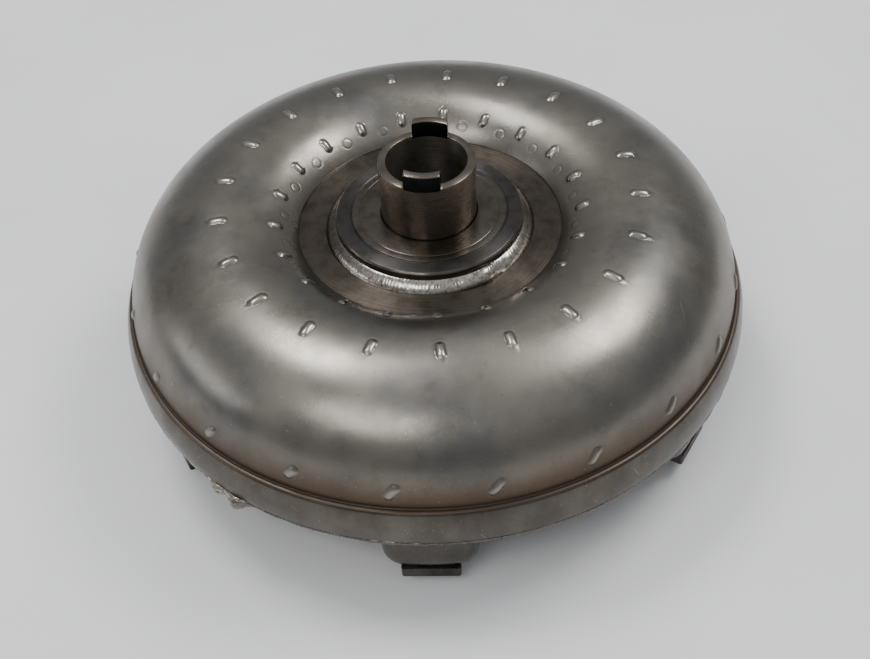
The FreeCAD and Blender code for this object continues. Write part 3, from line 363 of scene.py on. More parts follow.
def weld_metal(name, colour, second, roughness, pit_mm, highlight_at, highlight_half_width):
    """Solidified weld metal: silvery ripples painted bright as a highlight on one side, and painted shade in
    a dark tone round the rest.
    """
    made, tree, shader, place = new_material(name)
    direction = polar(tree, place)[1]
    # Painted highlight and shade: the bead keeps its light tone on the side facing the given direction and is
    # painted dark round the other sides.
    facing = math_node(tree, "COSINE", math_node(tree, "SUBTRACT", direction, highlight_at))
    painted_weld_shade = ramp(tree, facing, math.cos(highlight_half_width), 1.0 - 0.3 * (1.0 - math.cos(highlight_half_width)), 0.8, 0.0)
    oxide = cloud(tree, place, 2.5, 8.0, 0.75, seed=6.0)
    tone = blend_colours(tree, ramp(tree, oxide, 0.42, 0.66), linear(colour), linear(second))
    tone = blend_colours(tree, painted_weld_shade, tone, linear(WELD_PAINTED_SHADE))
    rough = ramp(tree, oxide, 0.35, 0.7, roughness * 0.7, roughness * 1.4)
    pits = cloud(tree, place, 1.1, 5.0, 0.65, seed=8.0)
    finish_metal(tree, shader, tone, rough, pits, pit_mm)
    return made


# Tones that only one finish uses.
LIP_DIRT = "#433D37"
SCRATCH = "#D8D5D0"
SPECK = "#4A443E"
# Painted shade in the corner where the lip meets the shell.
LIP_CORNER_SHADE = "#332D28"
# Painted highlight on the crowns of the vane marks.
CROWN_HIGHLIGHT = "#B4AFA7"
# Painted shade on the sides of the weld beads away from their highlight.
WELD_PAINTED_SHADE = "#4E4842"

# How far to each side of its middle a bead keeps its painted highlight.
HUB_HIGHLIGHT_HALF = math.radians(80)
RIM_HIGHLIGHT_HALF = math.radians(14)
RIM_HIGHLIGHT_BACK = math.radians(10)

metals = {}


def make_metals(colours, shell, welds):
    """Makes every metal once, under the short names that CAD_METALS and the pieces use."""
    metals["pressed"] = pressed_steel(colours, shell)
    # Mild steel turned on a lathe: bright fans of light round the axis, dulled by dried oil.
    metals["turned"] = turned_steel("lathe_turned_steel", colours.turned, "#5E5145", 0.34)
    # Machined before welding, then heated by it: a brown ring with the turning marks still in it.
    metals["seat"] = turned_steel("machined_seat_with_weld_oxide", "#5A534B", "#3A332D", 0.34, 0.5, 0.7)
    # Ground for the shaft seal: tight upright streaks of light on the tube.
    metals["tube"] = turned_steel("ground_hub_journal", "#7A7268", "#5D5349", 0.25, 0.14, 0.6)
    # Reamed and left: coarser, greyer marks in the shade of the bore.
    metals["bore"] = turned_steel("reamed_hub_bore", "#7A746C", "#5F5850", 0.4, 0.6)
    # Faced across: light fans out from the tube under a patchy film of oil.
    metals["disc"] = turned_steel("faced_steel_disc", "#615B54", "#453E37", 0.24, 0.35, 0.8)
    # Hardened by induction: a dark, slightly glossy band.
    metals["blackened"] = turned_steel("induction_hardened_steel", colours.blackened, "#3A3735", 0.38)
    # Blackened where the pump drives: nearly black, with only a dull shine.
    metals["tang"] = plain_metal("black_oxide_on_tangs", "#262626", "#191919", 0.5, 1.0)
    # Painted highlight on the side that faces the front: silvery there, and painted shade round the rest.
    metals["weld"] = weld_metal("weld_metal_with_painted_highlight", colours.weld, "#6A625A", 0.17, 0.035,
                                welds.hub_highlight_at, HUB_HIGHLIGHT_HALF)
    # Left as welded: painted shade all round, with a painted highlight over the lumps where the torch
    # stopped.
    metals["rim_weld"] = weld_metal("as_welded_steel_with_painted_highlight", "#A8A299", "#5A534C", 0.25, 0.05,
                                    welds.rim_stop_at - RIM_HIGHLIGHT_BACK, RIM_HIGHLIGHT_HALF)
    # Rolled hot: rough grey-brown scale.
    metals["scale"] = plain_metal("hot_rolled_steel_with_mill_scale", colours.scale, "#35322F", 0.5,
                                  1.4, 0.03)
    # Rolled cold: pale and even.
    metals["sheet"] = plain_metal("cold_rolled_sheet_steel", "#9C978F", "#7F7A73", 0.3, 2.0)
    # Ground and lapped: nearly a mirror.
    metals["ground"] = plain_metal("ground_bearing_steel", "#C9C9C6", "#B5B5B2", 0.16, 0.8, 0.004)
    # Tempered: the blue oxide of spring steel.
    metals["blued"] = plain_metal("blued_spring_steel", "#3A4252", "#2C2F38", 0.26, 1.0)
    # Cast under pressure: pale grey with a fine cast skin.
    metals["cast"] = plain_metal("die_cast_aluminium", "#B9BBBC", "#A2A4A6", 0.42, 0.9, 0.03)
    # Sintered: warm, matt and a little porous.
    metals["bronze"] = plain_metal("sintered_bronze", "#A9814E", "#8A6539", 0.38, 0.6, 0.02)


CAD_METALS = {
    "sheet": ("impeller_vanes", "impeller_core_ring", "turbine_shell", "turbine_vanes", "turbine_core_ring",
              "turbine_rivets"),
    "turned": ("turbine_hub", "crank_pilot", "impeller_hub", "hub_flange"),
    "cast": ("stator_wheel",),
    "ground": ("clutch_outer_race", "clutch_inner_race", "clutch_rollers", "hub_bearing_outer_washer",
               "hub_bearing_stator_washer", "hub_bearing_needles", "turbine_bearing_outer_washer",
               "turbine_bearing_stator_washer", "turbine_bearing_needles"),
    "blued": ("clutch_springs", "stator_snap_rings", "hub_bearing_cage", "turbine_bearing_cage"),
    "bronze": ("end_plate_turbine_side", "end_plate_impeller_side", "cover_thrust_washer"),
    "pressed": ("front_cover",),
    "scale": ("drive_lugs", "balance_weight"),
    "rim_weld": ("lug_welds", "pilot_weld"),
}


# ---------------------------------------------------------------- mesh tools
def mesh_piece(name, points, faces, body, slot, *materials):
    """A smooth-shaded piece made of points and faces, riding on a body."""
    mesh = bpy.data.meshes.new(name)
    mesh.from_pydata(points, [], faces)
    mesh.update()
    piece = bpy.data.objects.new(name, mesh)
    bpy.context.scene.collection.objects.link(piece)
    for made in materials:
        mesh.materials.append(made)
    mesh.shade_smooth()
    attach(piece, body)
    return piece


def set_float(piece, name, values):
    """Writes one number for each point of a piece, for its material to read."""
    layer = piece.data.attributes.new(name, "FLOAT", "POINT")
    layer.data.foreach_set("value", np.asarray(values, dtype=np.float32).ravel())


def ring_faces(rows, columns):
    """Quads of a closed grid: columns close round the axis, and the last row joins the first."""
    faces = []
    for i in range(rows):
        a, b = i * columns, ((i + 1) % rows) * columns
        for j in range(columns):
            k = (j + 1) % columns
            faces.append((a + j, a + k, b + k, b + j))
    return faces


def spread(stop, windows, fine, coarse):
    """Positions from 0 to stop, close together inside the windows (middle, half width)."""
    places, here = [], 0.0
    while here < stop:
        places.append(here)
        inside = any(abs(here - middle) < half for middle, half in windows)
        here += fine if inside else coarse
    return places


def arc_points(centre, radius, start, end, steps):
    """Points of an arc, as (radius, height)."""
    angles = [start + (end - start) * i / steps for i in range(steps + 1)]
    return [(centre[0] + radius * math.cos(a), centre[1] + radius * math.sin(a)) for a in angles]


def arc_through(a, b, c, steps):
    """Points of the arc from a to c by way of b."""
    (ax, ay), (bx, by), (cx, cy) = a, b, c
    d = 2 * (ax * (by - cy) + bx * (cy - ay) + cx * (ay - by))
    ux = ((ax**2 + ay**2) * (by - cy) + (bx**2 + by**2) * (cy - ay) + (cx**2 + cy**2) * (ay - by)) / d
    uy = ((ax**2 + ay**2) * (cx - bx) + (bx**2 + by**2) * (ax - cx) + (cx**2 + cy**2) * (bx - ax)) / d
    start, end = math.atan2(ay - uy, ax - ux), math.atan2(cy - uy, cx - ux)
    return arc_points((ux, uy), math.hypot(ax - ux, ay - uy), start, end, steps)


def eased(points, radius, steps=4):
    """A closed section with every corner that turns sharply rounded to a radius."""
    out = []
    for i, here in enumerate(points):
        before, after = Vector(points[i - 1]), Vector(points[(i + 1) % len(points)])
        here = Vector(here)
        a, b = before - here, after - here
        turn = math.pi - a.angle(b)
        if turn < math.radians(20):
            out.append(tuple(here))
            continue
        cut = min(radius, a.length * 0.45, b.length * 0.45)
        first, last = here + a.normalized() * cut, here + b.normalized() * cut
        for k in range(steps + 1):
            t = k / steps
            out.append(tuple(first * (1 - t) ** 2 + here * 2 * t * (1 - t) + last * t**2))
    return out


def set_zones(piece, zones, columns):
    """Gives each row of faces round a turned piece its material."""
    piece.data.polygons.foreach_set("material_index", np.repeat(zones, columns).astype(np.int32))


def revolve(name, points, columns, body, slot, materials, zones):
    """Turns a closed section about the shaft axis; zones gives each edge of it a material."""
    turns = np.linspace(0, TURN, columns, endpoint=False)
    r, z = (np.array(c)[:, None] for c in zip(*points))
    grid = np.stack([r * np.cos(turns), r * np.sin(turns), z + 0 * turns], axis=-1).reshape(-1, 3)
    piece = mesh_piece(name, grid.tolist(), ring_faces(len(points), columns), body, slot, *materials)
    set_zones(piece, zones, columns)
    crease(piece)
    return piece


def crease(piece, degrees=32.0):
    """Keeps edges sharp where the faces turn by more than an angle."""
    mesh = bmesh.new()
    mesh.from_mesh(piece.data)
    for edge in mesh.edges:
        edge.smooth = edge.calc_face_angle(0.0) < math.radians(degrees)
    mesh.to_mesh(piece.data)
    mesh.free()


def pill(along, across, half_straight, half_width):
    """Distance from the spine of a round-ended slot, in half widths: 1 at its edge."""
    past = np.maximum(np.abs(along) - half_straight, 0.0)
    return np.hypot(past, across) / half_width


def wrap(turns, pitch):
    """Turns brought to the nearest of the marks that stand a pitch apart."""
    return (turns + pitch / 2) % pitch - pitch / 2


# ---------------------------------------------------------------- the pressed shell
class OuterFace:
    """The shell's outer face as three arcs: rim, crown and eye, measured along from the rim."""

    def __init__(self, sizes, middle, seat_z):
        wall = sizes.wall
        reach = sizes.rim_r - sizes.rim_bend - sizes.crown_r
        rise = sizes.half_width - sizes.rim_bend
        bend = (reach**2 + sizes.half_width**2 - sizes.rim_bend**2) / (2 * rise)
        rim = (sizes.rim_r - sizes.rim_bend, middle)
        crown = (sizes.crown_r, middle + sizes.half_width - bend)
        eye = (sizes.crown_r, middle + sizes.half_width - sizes.eye_bend)
        join = math.atan2(middle - crown[1], reach)
        eye_out = sizes.eye_bend + wall
        last = math.pi - math.asin((seat_z + sizes.seat_step - eye[1]) / eye_out)
        inside_last = math.pi - math.asin((seat_z - wall - eye[1]) / sizes.eye_bend)
        self.arcs = [
            (rim, sizes.rim_bend + wall, 0.0, join),
            (crown, bend + wall, join, math.pi / 2),
            (eye, eye_out, math.pi / 2, last),
        ]
        self.inside = [
            (rim, sizes.rim_bend, 0.0, join),
            (crown, bend, join, math.pi / 2),
            (eye, sizes.eye_bend, math.pi / 2, inside_last),
        ]
        self.length = sum(radius * (end - start) for _, radius, start, end in self.arcs)

    def sample(self, run):
        """(radius, height, normal) at a distance along from the rim."""
        for centre, radius, start, end in self.arcs:
            size = radius * (end - start)
            if run <= size or centre is self.arcs[-1][0]:
                a = start + run / radius
                across, up = math.cos(a), math.sin(a)
                return centre[0] + radius * across, centre[1] + radius * up, across, up
            run -= size

    def run_at_radius(self, r):
        """Distance along from the rim to where the face is at a radius, inside the rim's arc."""
        low_run, high_run = 0.0, self.length
        for _ in range(40):
            middle = (low_run + high_run) / 2
            if self.sample(middle)[0] > r:
                low_run = middle
            else:
                high_run = middle
        return low_run


# Spacing of the shell's samples: close together at the marks and wider between them.
MARK_WINDOW = 6.6 * MM
PIP_WINDOW = 4.0 * MM
FINE_STEP = 0.45 * MM
COARSE_STEP = 2.0 * MM
FINE_TURN = math.radians(0.22)
COARSE_TURN = math.radians(0.9)
LAST_TURN = math.radians(0.5)

LIP_FILLET = 0.9 * MM


def off_face(points):
    """Samples that carry no marks: no normal, and a run of -1."""
    return [(r, z, 0.0, 0.0, -1.0) for r, z in points]


def lip_points(sizes, lip_low, lip_top):
    """The lip's underside, its slightly barrelled side and its top edge."""
    lip_in = sizes.rim_r + sizes.lip_out
    lip_r = lip_in + sizes.lip_t
    edge_r, edge_z = lip_top
    barrel = arc_through((lip_r - 0.2 * MM, lip_low), (lip_r, lip_low + 7.4 * MM), lip_top, 24)
    side = [p for p in barrel if lip_low + 0.5 * MM < p[1] < edge_z - 0.7 * MM]
    foot = [(lip_in, lip_low), (lip_r - 0.9 * MM, lip_low), (lip_r - 0.4 * MM, lip_low + 0.15 * MM)]
    edge = [(edge_r + 0.02 * MM, edge_z - 0.45 * MM), (edge_r - 0.18 * MM, edge_z - 0.15 * MM)]
    return foot + side + edge + [(edge_r - 0.5 * MM, edge_z)]


def seat_points(sizes, edge_r, edge_z, seat_z):
    """The step down from the eye, the flat seat and the wall's edge against the hub's flange."""
    spigot_r = high("hub_flange").x
    step = [(edge_r - 0.25 * MM, edge_z - 0.25 * MM), (edge_r - 0.35 * MM, seat_z + 0.3 * MM)]
    flat = [(edge_r - inward * MM, seat_z) for inward in (0.65, 7, 13)]
    return step + flat + [(spigot_r, seat_z), (spigot_r, seat_z - sizes.wall)]


def shell_profile(sizes, face, runs, lip_low, seat_z):
    """Samples (radius, height, normal, run) round the section, where the lip ends, and the seat's ends."""
    middle = lip_low + sizes.lip_height
    lip_in = sizes.rim_r + sizes.lip_out
    lip_top = (lip_in + sizes.lip_t - sizes.lip_taper, middle - sizes.lip_top_drop)
    lip = lip_points(sizes, lip_low, lip_top)
    corner = (sizes.rim_r + sizes.wall + LIP_FILLET, lip_top[1] + LIP_FILLET)
    samples = off_face(lip + arc_points(corner, LIP_FILLET, -math.pi / 2, -math.pi, 6))
    samples += [(*face.sample(run), run) for run in runs]
    seat_from = len(samples) - 1
    samples += off_face(seat_points(sizes, *samples[-1][:2], seat_z))
    seat_to = len(samples) - 1
    for arc in reversed(face.inside):
        samples += off_face(reversed(arc_points(*arc, 10)[1:]))
    step_z = lip_top[1] - sizes.wall
    samples += off_face([(sizes.rim_r, middle), (sizes.rim_r, step_z), (lip_in, step_z)])
    return samples, len(lip), (seat_from, seat_to)


def shell_runs(face, ring_at):
    """Distances along the outer face at which it is sampled."""
    windows = [(ring_at[name], MARK_WINDOW) for name in ("outer", "mid", "inner")]
    windows.append((ring_at["pip"], PIP_WINDOW))
    first = 1.6 * MM
    runs = spread(face.length, windows, FINE_STEP, COARSE_STEP)
    return [run for run in runs if run > first] + [face.length]


def shell_turns(sizes):
    """Directions round the axis at which the shell is sampled."""
    pitch = TURN / sizes.vanes
    start = sizes.vanes_at - pitch / 2
    windows = []
    for direction, half in ((sizes.vanes_at, 2.3), (sizes.vanes_at - sizes.sweep, 2.4), (start, 2.3)):
        at = (direction - sizes.vanes_at + pitch / 2) % pitch
        windows += [(at + k * pitch, math.radians(half)) for k in (-1, 0, 1)]
    sector = spread(pitch, windows, FINE_TURN, COARSE_TURN)
    stretch = pitch / (sector[-1] + LAST_TURN)
    return np.array([start + k * pitch + t * stretch for k in range(sizes.vanes) for t in sector])


def vane_marks(sizes, ring_at, turns, r, run):
    """(rise, painted groove shade) of the three rings of pressed vane marks, each mark a little different
    from the next; the second is a mask of painted shade in the groove round each mark.
    """
    pitch = TURN / sizes.vanes
    marks = np.zeros((len(r), len(turns)))
    painted_groove_shade = np.zeros_like(marks)
    half_width = sizes.mark_width / 2
    half_straight = sizes.mark_length / 2 - half_width
    draw = np.random.default_rng(17)
    index = np.floor((turns - sizes.vanes_at + pitch / 2) / pitch + 1e-9).astype(int) % sizes.vanes
    rings = (
        (ring_at["outer"], sizes.vanes_at - sizes.sweep, sizes.slant, 1.0),
        (ring_at["mid"], sizes.vanes_at, 0.0, 1.0),
        (ring_at["inner"], sizes.vanes_at, 0.0, 0.72),
    )
    for at, direction, slant, share in rings:
        lean = draw.normal(0, 0.05, sizes.vanes)[index]
        size = draw.normal(1, 0.05, sizes.vanes)[index] * share
        shift = draw.normal(0, 0.35 * MM, sizes.vanes)[index]
        du = run - at - shift
        dv = wrap(turns[None, :] - direction, pitch) * r
        c, s = np.cos(slant + lean), np.sin(slant + lean)
        along, across = du * c + dv * s, dv * c - du * s
        d = pill(along, across, half_straight * size, half_width)
        end = 1.0 - 0.45 * np.clip(np.abs(along) / (half_straight * size + half_width), 0, 1) ** 2
        dome = np.clip(1.0 - d**2, 0.0, 1.0) ** 0.9 * end
        # The groove round a mark: a slight dip in the sheet, and painted shade for the material.
        groove_and_shade = np.exp(-(((d - 1.15) / 0.17) ** 2))
        marks += dome * sizes.mark_height - groove_and_shade * 0.05 * MM
        painted_groove_shade = np.maximum(painted_groove_shade, groove_and_shade * 0.5)
    return marks, painted_groove_shade


def pip_marks(sizes, at, turns, r, run):
    """(rise, painted groove shade) of the small round marks: a groove round a slight dome, with painted shade
    in the groove.
    """
    pitch = TURN / sizes.vanes
    direction = sizes.vanes_at - pitch / 2
    d = np.hypot(run - at, wrap(turns[None, :] - direction, pitch) * r) / sizes.pip_r
    # The groove dips the sheet and also gives the material its painted shade.
    groove = np.exp(-(((d - 0.95) / 0.12) ** 2))
    return np.clip(1 - d**4, 0, 1) * 0.06 * MM - groove * 0.13 * MM, groove * 0.3


def pressing_waves(sizes, turns, run):
    """Unevenness that pressing leaves, always inward."""
    waves = (
        np.sin(3 * turns + 0.7)[None, :] * np.sin(run / (19 * MM))
        + np.sin(7 * turns + 2.1)[None, :] * np.sin(run / (11 * MM) + 1.0)
        + np.sin(13 * turns)[None, :] * np.sin(run / (8 * MM) + 2.0) * 0.5
    )
    return (waves + 2.5) * sizes.waviness / 5


def build_shell(sizes):
    """Makes the shell from its section, its marks and its unevenness."""
    seat_z = low("hub_weld").z
    lip_low = low("impeller_shell").z
    face = OuterFace(sizes, lip_low + sizes.lip_height, seat_z)
    radii = {"outer": sizes.outer_ring_r, "mid": sizes.mid_ring_r, "inner": sizes.inner_ring_r,
             "pip": sizes.pip_ring_r}
    ring_at = {name: face.run_at_radius(r) for name, r in radii.items()}
    samples, lip_end, seat = shell_profile(sizes, face, shell_runs(face, ring_at), lip_low, seat_z)
    turns = shell_turns(sizes)
    r, z, nr, nz, run = (np.array(column, dtype=float)[:, None] for column in zip(*samples))

    marks, painted_groove_shade = vane_marks(sizes, ring_at, turns, r, run)
    # How high each point stands on its mark: the mask of the painted highlight on the crowns.
    crown_highlight_mask = np.clip(marks / sizes.mark_height, 0, 1)
    pips, grooves = pip_marks(sizes, ring_at["pip"], turns, r, run)
    marks += pips - pressing_waves(sizes, turns, run)
    painted_groove_shade = np.maximum(painted_groove_shade, grooves)
    # Painted shade in the corner where the lip's top meets the shell.
    painted_groove_shade[lip_end : lip_end + 3] = 1.0

    radius = r + nr * marks
    grid = np.stack([radius * np.cos(turns), radius * np.sin(turns), z + nz * marks], axis=-1)
    faces = ring_faces(len(samples), len(turns))
    shell = mesh_piece("pressed_shell", grid.reshape(-1, 3).tolist(), faces, "housing", "shell_steel",
                       metals["pressed"], metals["seat"])
    set_zones(shell, [1 if seat[0] <= i < seat[1] else 0 for i in range(len(samples))], len(turns))
    set_float(shell, "crown", crown_highlight_mask)
    set_float(shell, "groove_and_shade", painted_groove_shade)
    crease(shell)
    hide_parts("impeller_shell")


# ---------------------------------------------------------------- the drive hub
def tube_columns(top, ring_top):
    """Columns round the tube: (side, on a tang, place along it, height of the tube's end there)."""
    columns = []
    for side in (0, 1):
        rising = ((-1.0, 0.5 * MM), (-0.985, 0.2 * MM), (-0.95, 0.0))
        columns += [(side, 1, w, top - drop) for w, drop in rising]
        columns += [(side, 1, w, top) for w in np.linspace(-0.86, 0.86, 11)]
        falling = ((0.95, 0.0), (0.985, 0.2 * MM), (1.0, 0.5 * MM))
        columns += [(side, 1, w, top - drop) for w, drop in falling]
        near = ((0.0005, 0.35 * MM), (0.003, 0.1 * MM), (0.008, 0.0))
        columns += [(side, 0, w, ring_top + rise) for w, rise in near]
        columns += [(side, 0, w, ring_top) for w in np.linspace(0.03, 0.97, 34)]
        far = ((0.992, 0.0), (0.997, 0.1 * MM), (0.9995, 0.35 * MM))
        columns += [(side, 0, w, ring_top + rise) for w, rise in far]
    return columns


def tube_rows(sizes, foot, ring_top):
    """Rows of the tube's section, up the bore and down the outside: (radius, height, hangs from the end)."""
    bore, journal, ease = sizes.bore_r, sizes.journal_r, 0.5 * MM
    neck_z = low("hub_weld").z + 9 * MM
    rows = [(bore, foot, 0), (bore, ring_top - 12 * MM, 0), (bore, ring_top - 1.2 * MM, 0)]
    rows += [(bore, -ease, 1), (bore + 0.3 * ease, -0.3 * ease, 1), (bore + ease, 0.0, 1)]
    rows += [((bore + journal) / 2, 0.0, 1)]
    rows += [(journal - ease, 0.0, 1), (journal - 0.3 * ease, -0.3 * ease, 1), (journal, -ease, 1)]
    rows += [(journal, z, 0) for z in (ring_top - 1.2 * MM, neck_z + 14 * MM, neck_z + 0.6 * MM)]
    return rows + [(journal - 0.5 * MM, neck_z, 0), (journal - 0.5 * MM, foot, 0)]


def build_tube(sizes):
    """Makes the hub's tube, whose end rises into two drive tangs with upright flanks."""
    top, foot = high("impeller_hub").z, low("impeller_hub").z
    ring_top = top - sizes.tang_height
    half = sizes.tang_width / 2
    columns = tube_columns(top, ring_top)
    rows = tube_rows(sizes, foot, ring_top)
    points = []
    for r, z, hangs in rows:
        edge = math.asin(half / r)
        for side, tang, w, end_z in columns:
            turn = math.asin(w * half / r) if tang else edge + (math.pi - 2 * edge) * w
            turn += sizes.tangs_at + side * math.pi
            points.append((r * math.cos(turn), r * math.sin(turn), end_z + z if hangs else z))
    faces = ring_faces(len(rows), len(columns))
    tube = mesh_piece("drive_hub_tube", points, faces, "housing", "turned_steel",
                      metals["tube"], metals["tang"], metals["bore"])
    zones = []
    for i in range(len(rows)):
        row_metal = 2 if i < 3 or i == len(rows) - 1 else 0
        zones += [1 if i in (2, 9) and tang else row_metal for side, tang, w, end_z in columns]
    tube.data.polygons.foreach_set("material_index", np.array(zones, dtype=np.int32))
    crease(tube)
    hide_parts("impeller_hub")


def build_flange(sizes):
    """Makes the stepped flange: a bright turned disc with a light groove, inside a dark hardened ring."""
    foot, top = low("hub_flange").z, high("hub_flange").z
    seat = low("hub_weld").z
    journal, outer, disc = sizes.journal_r, sizes.flange_r, sizes.disc_r
    ring = top - sizes.disc_step
    corners = [
        (journal - 0.5 * MM, foot), (outer + 0.5 * MM, foot), (outer + 0.5 * MM, seat), (outer, seat),
        (outer, ring - 1.0 * MM), (outer - 1.0 * MM, ring), (disc + 0.9 * MM, ring),
        (disc + 0.6 * MM, ring - 0.3 * MM), (disc, ring - 0.3 * MM), (disc, top), (disc - 3.2 * MM, top),
        (disc - 3.4 * MM, top - 0.12 * MM), (disc - 3.7 * MM, top - 0.12 * MM), (disc - 3.9 * MM, top),
        (journal + 0.6 * MM, top), (journal + 0.3 * MM, top - 0.3 * MM), (journal - 0.5 * MM, top - 0.6 * MM),
    ]
    section = eased(corners, 0.25 * MM, 3)
    zones = []
    for i, (r, z) in enumerate(section):
        far = section[(i + 1) % len(section)][0]
        dark = min(r, far) > disc - 0.01 * MM and max(r, far) < outer - 0.9 * MM and z > ring - 0.4 * MM
        zones.append(1 if dark else 0)
    flange = revolve("hub_flange_disc", section, 288, "housing", "turned_steel",
                     (metals["disc"], metals["blackened"]), zones)
    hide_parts("hub_flange")


# ---------------------------------------------------------------- weld beads
def wander(turns, seed, waves, finest):
    """A closed random line round the axis, between about -1 and 1."""
    draw = np.random.default_rng(seed)
    total = np.zeros_like(turns)
    for _ in range(waves):
        order = draw.integers(2, finest)
        total += np.sin(order * turns + draw.uniform(0, TURN)) / math.sqrt(waves)
    return total


def bump_at(turns, at, half):
    """A smooth swelling round one direction."""
    return np.exp(-((wrap(turns - at, TURN) / half) ** 2))


def bead_piece(name, node, corner, legs, turns, swell, sizes, relief, seed, material, flatness):
    """A weld bead in the corner (radius, height) with signed legs; swell grows it along the way, relief is
    the depth of its ripples as a share of its legs, and a higher flatness hollows its face."""
    steps = 16
    count = round(TURN * corner[0] / sizes.ripple)
    rows = []
    drift = wander(turns, seed, 10, 60) * 0.3
    for i in range(steps + 1):
        a = math.pi / 2 * i / steps
        full = math.sin(2 * a) if 0 < i < steps else 0.0
        phase = (count * turns / TURN + 0.7 * full + drift) % 1.0
        scale = (0.5 - 0.5 * np.cos(TURN * phase**1.5)) * relief * full
        rough = wander(turns, seed + i, 14, 420) * relief * 0.35
        size = 1.0 + scale + rough + swell * (0.35 + 0.65 * full)
        rows.append((corner[0] + legs[0] * math.cos(a) ** flatness * size,
                     corner[1] + legs[1] * math.sin(a) ** flatness * size))
    back = corner[0] - 0.5 * MM + 0 * turns
    rows += [(back, corner[1] + legs[1] * 0.5 + 0 * turns), (back, corner[1] + 0 * turns)]
    if legs[1] < 0:
        rows.reverse()
    points = []
    for r, z in rows:
        points += np.stack([r * np.cos(turns), r * np.sin(turns), z + 0 * turns], axis=-1).tolist()
    bead = mesh_piece(name, points, ring_faces(len(rows), len(turns)), "housing", "weld_steel", material)
    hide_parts(node)


def build_hub_bead(sizes):
    """Lays the bead round the hub's flange, with the lump and the dip where its ends overlap."""
    turns = np.linspace(0, TURN, 2000, endpoint=False)
    at = sizes.hub_stop_at
    swell = (
        0.42 * bump_at(turns, at, math.radians(7))
        + 0.2 * bump_at(turns, at - math.radians(11), math.radians(5))
        - 0.12 * bump_at(turns, at + math.radians(13), math.radians(4))
        + wander(turns, 5, 8, 12) * 0.025 - 0.1
    )
    corner = (high("hub_flange").x - 0.5 * MM, low("hub_weld").z)
    legs = (sizes.hub_width, sizes.hub_height)
    bead_piece("hub_weld_bead", "hub_weld", corner, legs, turns, swell, sizes, 0.01, 21, metals["weld"], 1.32)


def build_rim_bead(sizes):
    """Lays the bead under the lip, with the two lumps where the torch stopped."""
    turns = np.linspace(0, TURN, 2600, endpoint=False)
    at = sizes.rim_stop_at
    peaks = bump_at(turns, at - math.radians(3.0), math.radians(1.7)) * 0.75
    peaks += bump_at(turns, at + math.radians(1.3), math.radians(1.8))
    swell = wander(turns, 7, 10, 90) * 0.05 - 0.06 + peaks * 1.3
    corner = (high("front_cover").x, high("girth_weld").z - 0.02 * MM)
    legs = (sizes.rim_width, -sizes.rim_height)
    bead_piece("rim_weld_bead", "girth_weld", corner, legs, turns, swell, sizes, 0.06, 33,
               metals["rim_weld"], 1.05)


# ---------------------------------------------------------------- stage
FLOOR_HALF = 6.0
FLOOR_SHADE = "#ECECED"
SKY = "#E9ECEF"
CAMERA_NEAR = 10 * MM
SENSOR_WIDTH = 36.0

# Name, direction and elevation in degrees, width and depth in metres, watts.
LIGHTS = (
    ("left_softbox", 142, 66, 0.6, 0.4, 10.5),
    ("right_softbox", 26, 55, 0.75, 0.5, 12.0),
    ("front_softbox", -118, 52, 0.8, 0.45, 6.0),
    ("low_softbox", -172, 18, 0.9, 0.4, 3.0),
)
LIGHT_DISTANCE = 1.7
LIGHT_AIM = Vector((0, 0, 0.1))


def outward(turn, rise, distance):
    """A vector of a length, from its direction round the axis and its elevation."""
    flat = math.cos(rise) * distance
    return Vector((flat * math.cos(turn), flat * math.sin(turn), math.sin(rise) * distance))


def build_floor(colours):
    """Lays a matt sheet of pale paper under the object; its faint mottle keeps it from looking printed."""
    corners = [(x * FLOOR_HALF, y * FLOOR_HALF, 0.0) for x, y in ((-1, -1), (1, -1), (1, 1), (-1, 1))]
    mesh = bpy.data.meshes.new("floor")
    mesh.from_pydata(corners, [], [(0, 1, 2, 3)])
    floor = bpy.data.objects.new("floor", mesh)
    bpy.context.scene.collection.objects.link(floor)
    made, tree, shader, place = new_material("matt_paper_sweep")
    mottle = ramp(tree, cloud(tree, place, 180, 3.0, 0.5), 0.3, 0.7)
    tone = blend_colours(tree, mottle, linear(colours.floor), linear(FLOOR_SHADE))
    tree.links.new(tone, shader.inputs["Base Color"])
    shader.inputs["Roughness"].default_value = 0.55
    mesh.materials.append(made)


def build_sky():
    """Sets a plain soft sky, brighter overhead than low down."""
    world = bpy.data.worlds.new("studio")
    world.use_nodes = True
    sky = world.node_tree
    height = add(sky, "SeparateXYZ", {0: add(sky, "TexCoord").outputs["Generated"]}).outputs[2]
    shade = ramp(sky, height, 0.3, 1.0, 0.42, 0.9)
    sky.links.new(shade, sky.nodes["Background"].inputs["Strength"])
    sky.nodes["Background"].inputs["Color"].default_value = linear(SKY)
    bpy.context.scene.world = world


def build_lights():
    """Hangs the softboxes round the object, each facing it."""
    for name, turn, rise, width, depth, watts in LIGHTS:
        light = bpy.data.lights.new(name, "AREA")
        light.shape = "RECTANGLE"
        light.size = width
        light.size_y = depth
        light.energy = watts
        lamp = bpy.data.objects.new(name, light)
        bpy.context.scene.collection.objects.link(lamp)
        way = outward(math.radians(turn), math.radians(rise), LIGHT_DISTANCE)
        lamp.location = LIGHT_AIM + way
        lamp.rotation_euler = way.to_track_quat("Z", "Y").to_euler()


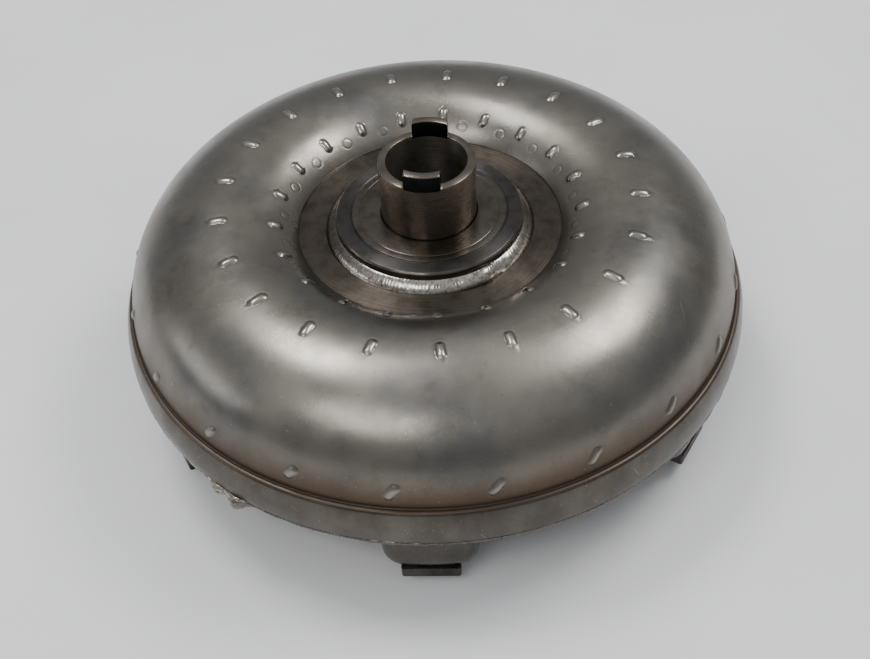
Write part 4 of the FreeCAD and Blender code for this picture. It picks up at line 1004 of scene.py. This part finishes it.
def build_camera(sizes):
    """Places the camera and makes it the scene's own."""
    camera = bpy.data.cameras.new("camera")
    camera.lens = sizes.lens
    camera.sensor_width = SENSOR_WIDTH
    camera.clip_start = CAMERA_NEAR
    viewer = bpy.data.objects.new("camera", camera)
    bpy.context.scene.collection.objects.link(viewer)
    place = Vector((0, 0, sizes.aim_height)) + outward(sizes.turn, sizes.rise, sizes.distance)
    look = Matrix.Rotation(sizes.turn + math.pi / 2, 4, "Z")
    look = look @ Matrix.Rotation(math.pi / 2 - sizes.rise, 4, "X")
    look = look @ Matrix.Rotation(sizes.pan, 4, "Y") @ Matrix.Rotation(-sizes.tip, 4, "X")
    look = look @ Matrix.Rotation(-sizes.roll, 4, "Z")
    viewer.matrix_world = Matrix.Translation(place) @ look
    bpy.context.scene.camera = viewer


# ---------------------------------------------------------------- operators
class CONVERTER_OT_metals(bpy.types.Operator):
    """Makes the metals and gives them to the parts that keep their own shape"""

    bl_idname = "converter.metals"
    bl_label = "Metals"

    def execute(self, context):
        scene = context.scene
        make_metals(scene.converter_colours, scene.converter_shell, scene.converter_welds)
        for metal, names in CAD_METALS.items():
            for name in names:
                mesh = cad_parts[name].data
                mesh.materials.clear()
                mesh.materials.append(metals[metal])
        return {"FINISHED"}


class CONVERTER_OT_shell(bpy.types.Operator):
    """Builds the pressed shell with its rings of vane marks"""

    bl_idname = "converter.shell"
    bl_label = "Pressed shell"

    def execute(self, context):
        build_shell(context.scene.converter_shell)
        return {"FINISHED"}


class CONVERTER_OT_hub(bpy.types.Operator):
    """Builds the drive hub: the tube with its two tangs, and the stepped flange"""

    bl_idname = "converter.hub"
    bl_label = "Drive hub"

    def execute(self, context):
        build_tube(context.scene.converter_hub)
        build_flange(context.scene.converter_hub)
        return {"FINISHED"}


class CONVERTER_OT_welds(bpy.types.Operator):
    """Lays the weld beads"""

    bl_idname = "converter.welds"
    bl_label = "Weld beads"

    def execute(self, context):
        build_hub_bead(context.scene.converter_welds)
        build_rim_bead(context.scene.converter_welds)
        return {"FINISHED"}


class CONVERTER_OT_stage(bpy.types.Operator):
    """Sets the floor, the lights and the camera"""

    bl_idname = "converter.stage"
    bl_label = "Stage"

    def execute(self, context):
        build_floor(context.scene.converter_colours)
        build_sky()
        build_lights()
        build_camera(context.scene.converter_stage)
        return {"FINISHED"}


class CONVERTER_PT_panel(bpy.types.Panel):
    """Lists the pieces in the order they are built"""

    bl_idname = "CONVERTER_PT_panel"
    bl_label = "Torque converter"
    bl_space_type = "VIEW_3D"
    bl_region_type = "UI"
    bl_category = "Converter"

    def draw(self, context):
        for operator in OPERATORS:
            self.layout.operator(operator.bl_idname)


OPERATORS = (
    CONVERTER_OT_metals,
    CONVERTER_OT_shell,
    CONVERTER_OT_hub,
    CONVERTER_OT_welds,
    CONVERTER_OT_stage,
)
GROUPS = {
    "converter_shell": ShellSizes,
    "converter_hub": HubSizes,
    "converter_welds": WeldSizes,
    "converter_stage": StageSizes,
    "converter_colours": FinishColours,
}


def register():
    """Registers the classes and hangs the groups of sizes on the scene."""
    for kind in (*GROUPS.values(), *OPERATORS, CONVERTER_PT_panel):
        bpy.utils.register_class(kind)
    for name, kind in GROUPS.items():
        setattr(bpy.types.Scene, name, PointerProperty(type=kind))


def unregister():
    """Takes the groups and the classes away again."""
    for name in GROUPS:
        delattr(bpy.types.Scene, name)
    for kind in (CONVERTER_PT_panel, *OPERATORS[::-1], *GROUPS.values()):
        bpy.utils.unregister_class(kind)


def main():
    """Builds every piece in order."""
    register()
    bpy.ops.converter.metals()
    bpy.ops.converter.shell()
    bpy.ops.converter.hub()
    bpy.ops.converter.welds()
    bpy.ops.converter.stage()


if __name__ == "__main__":
    main()
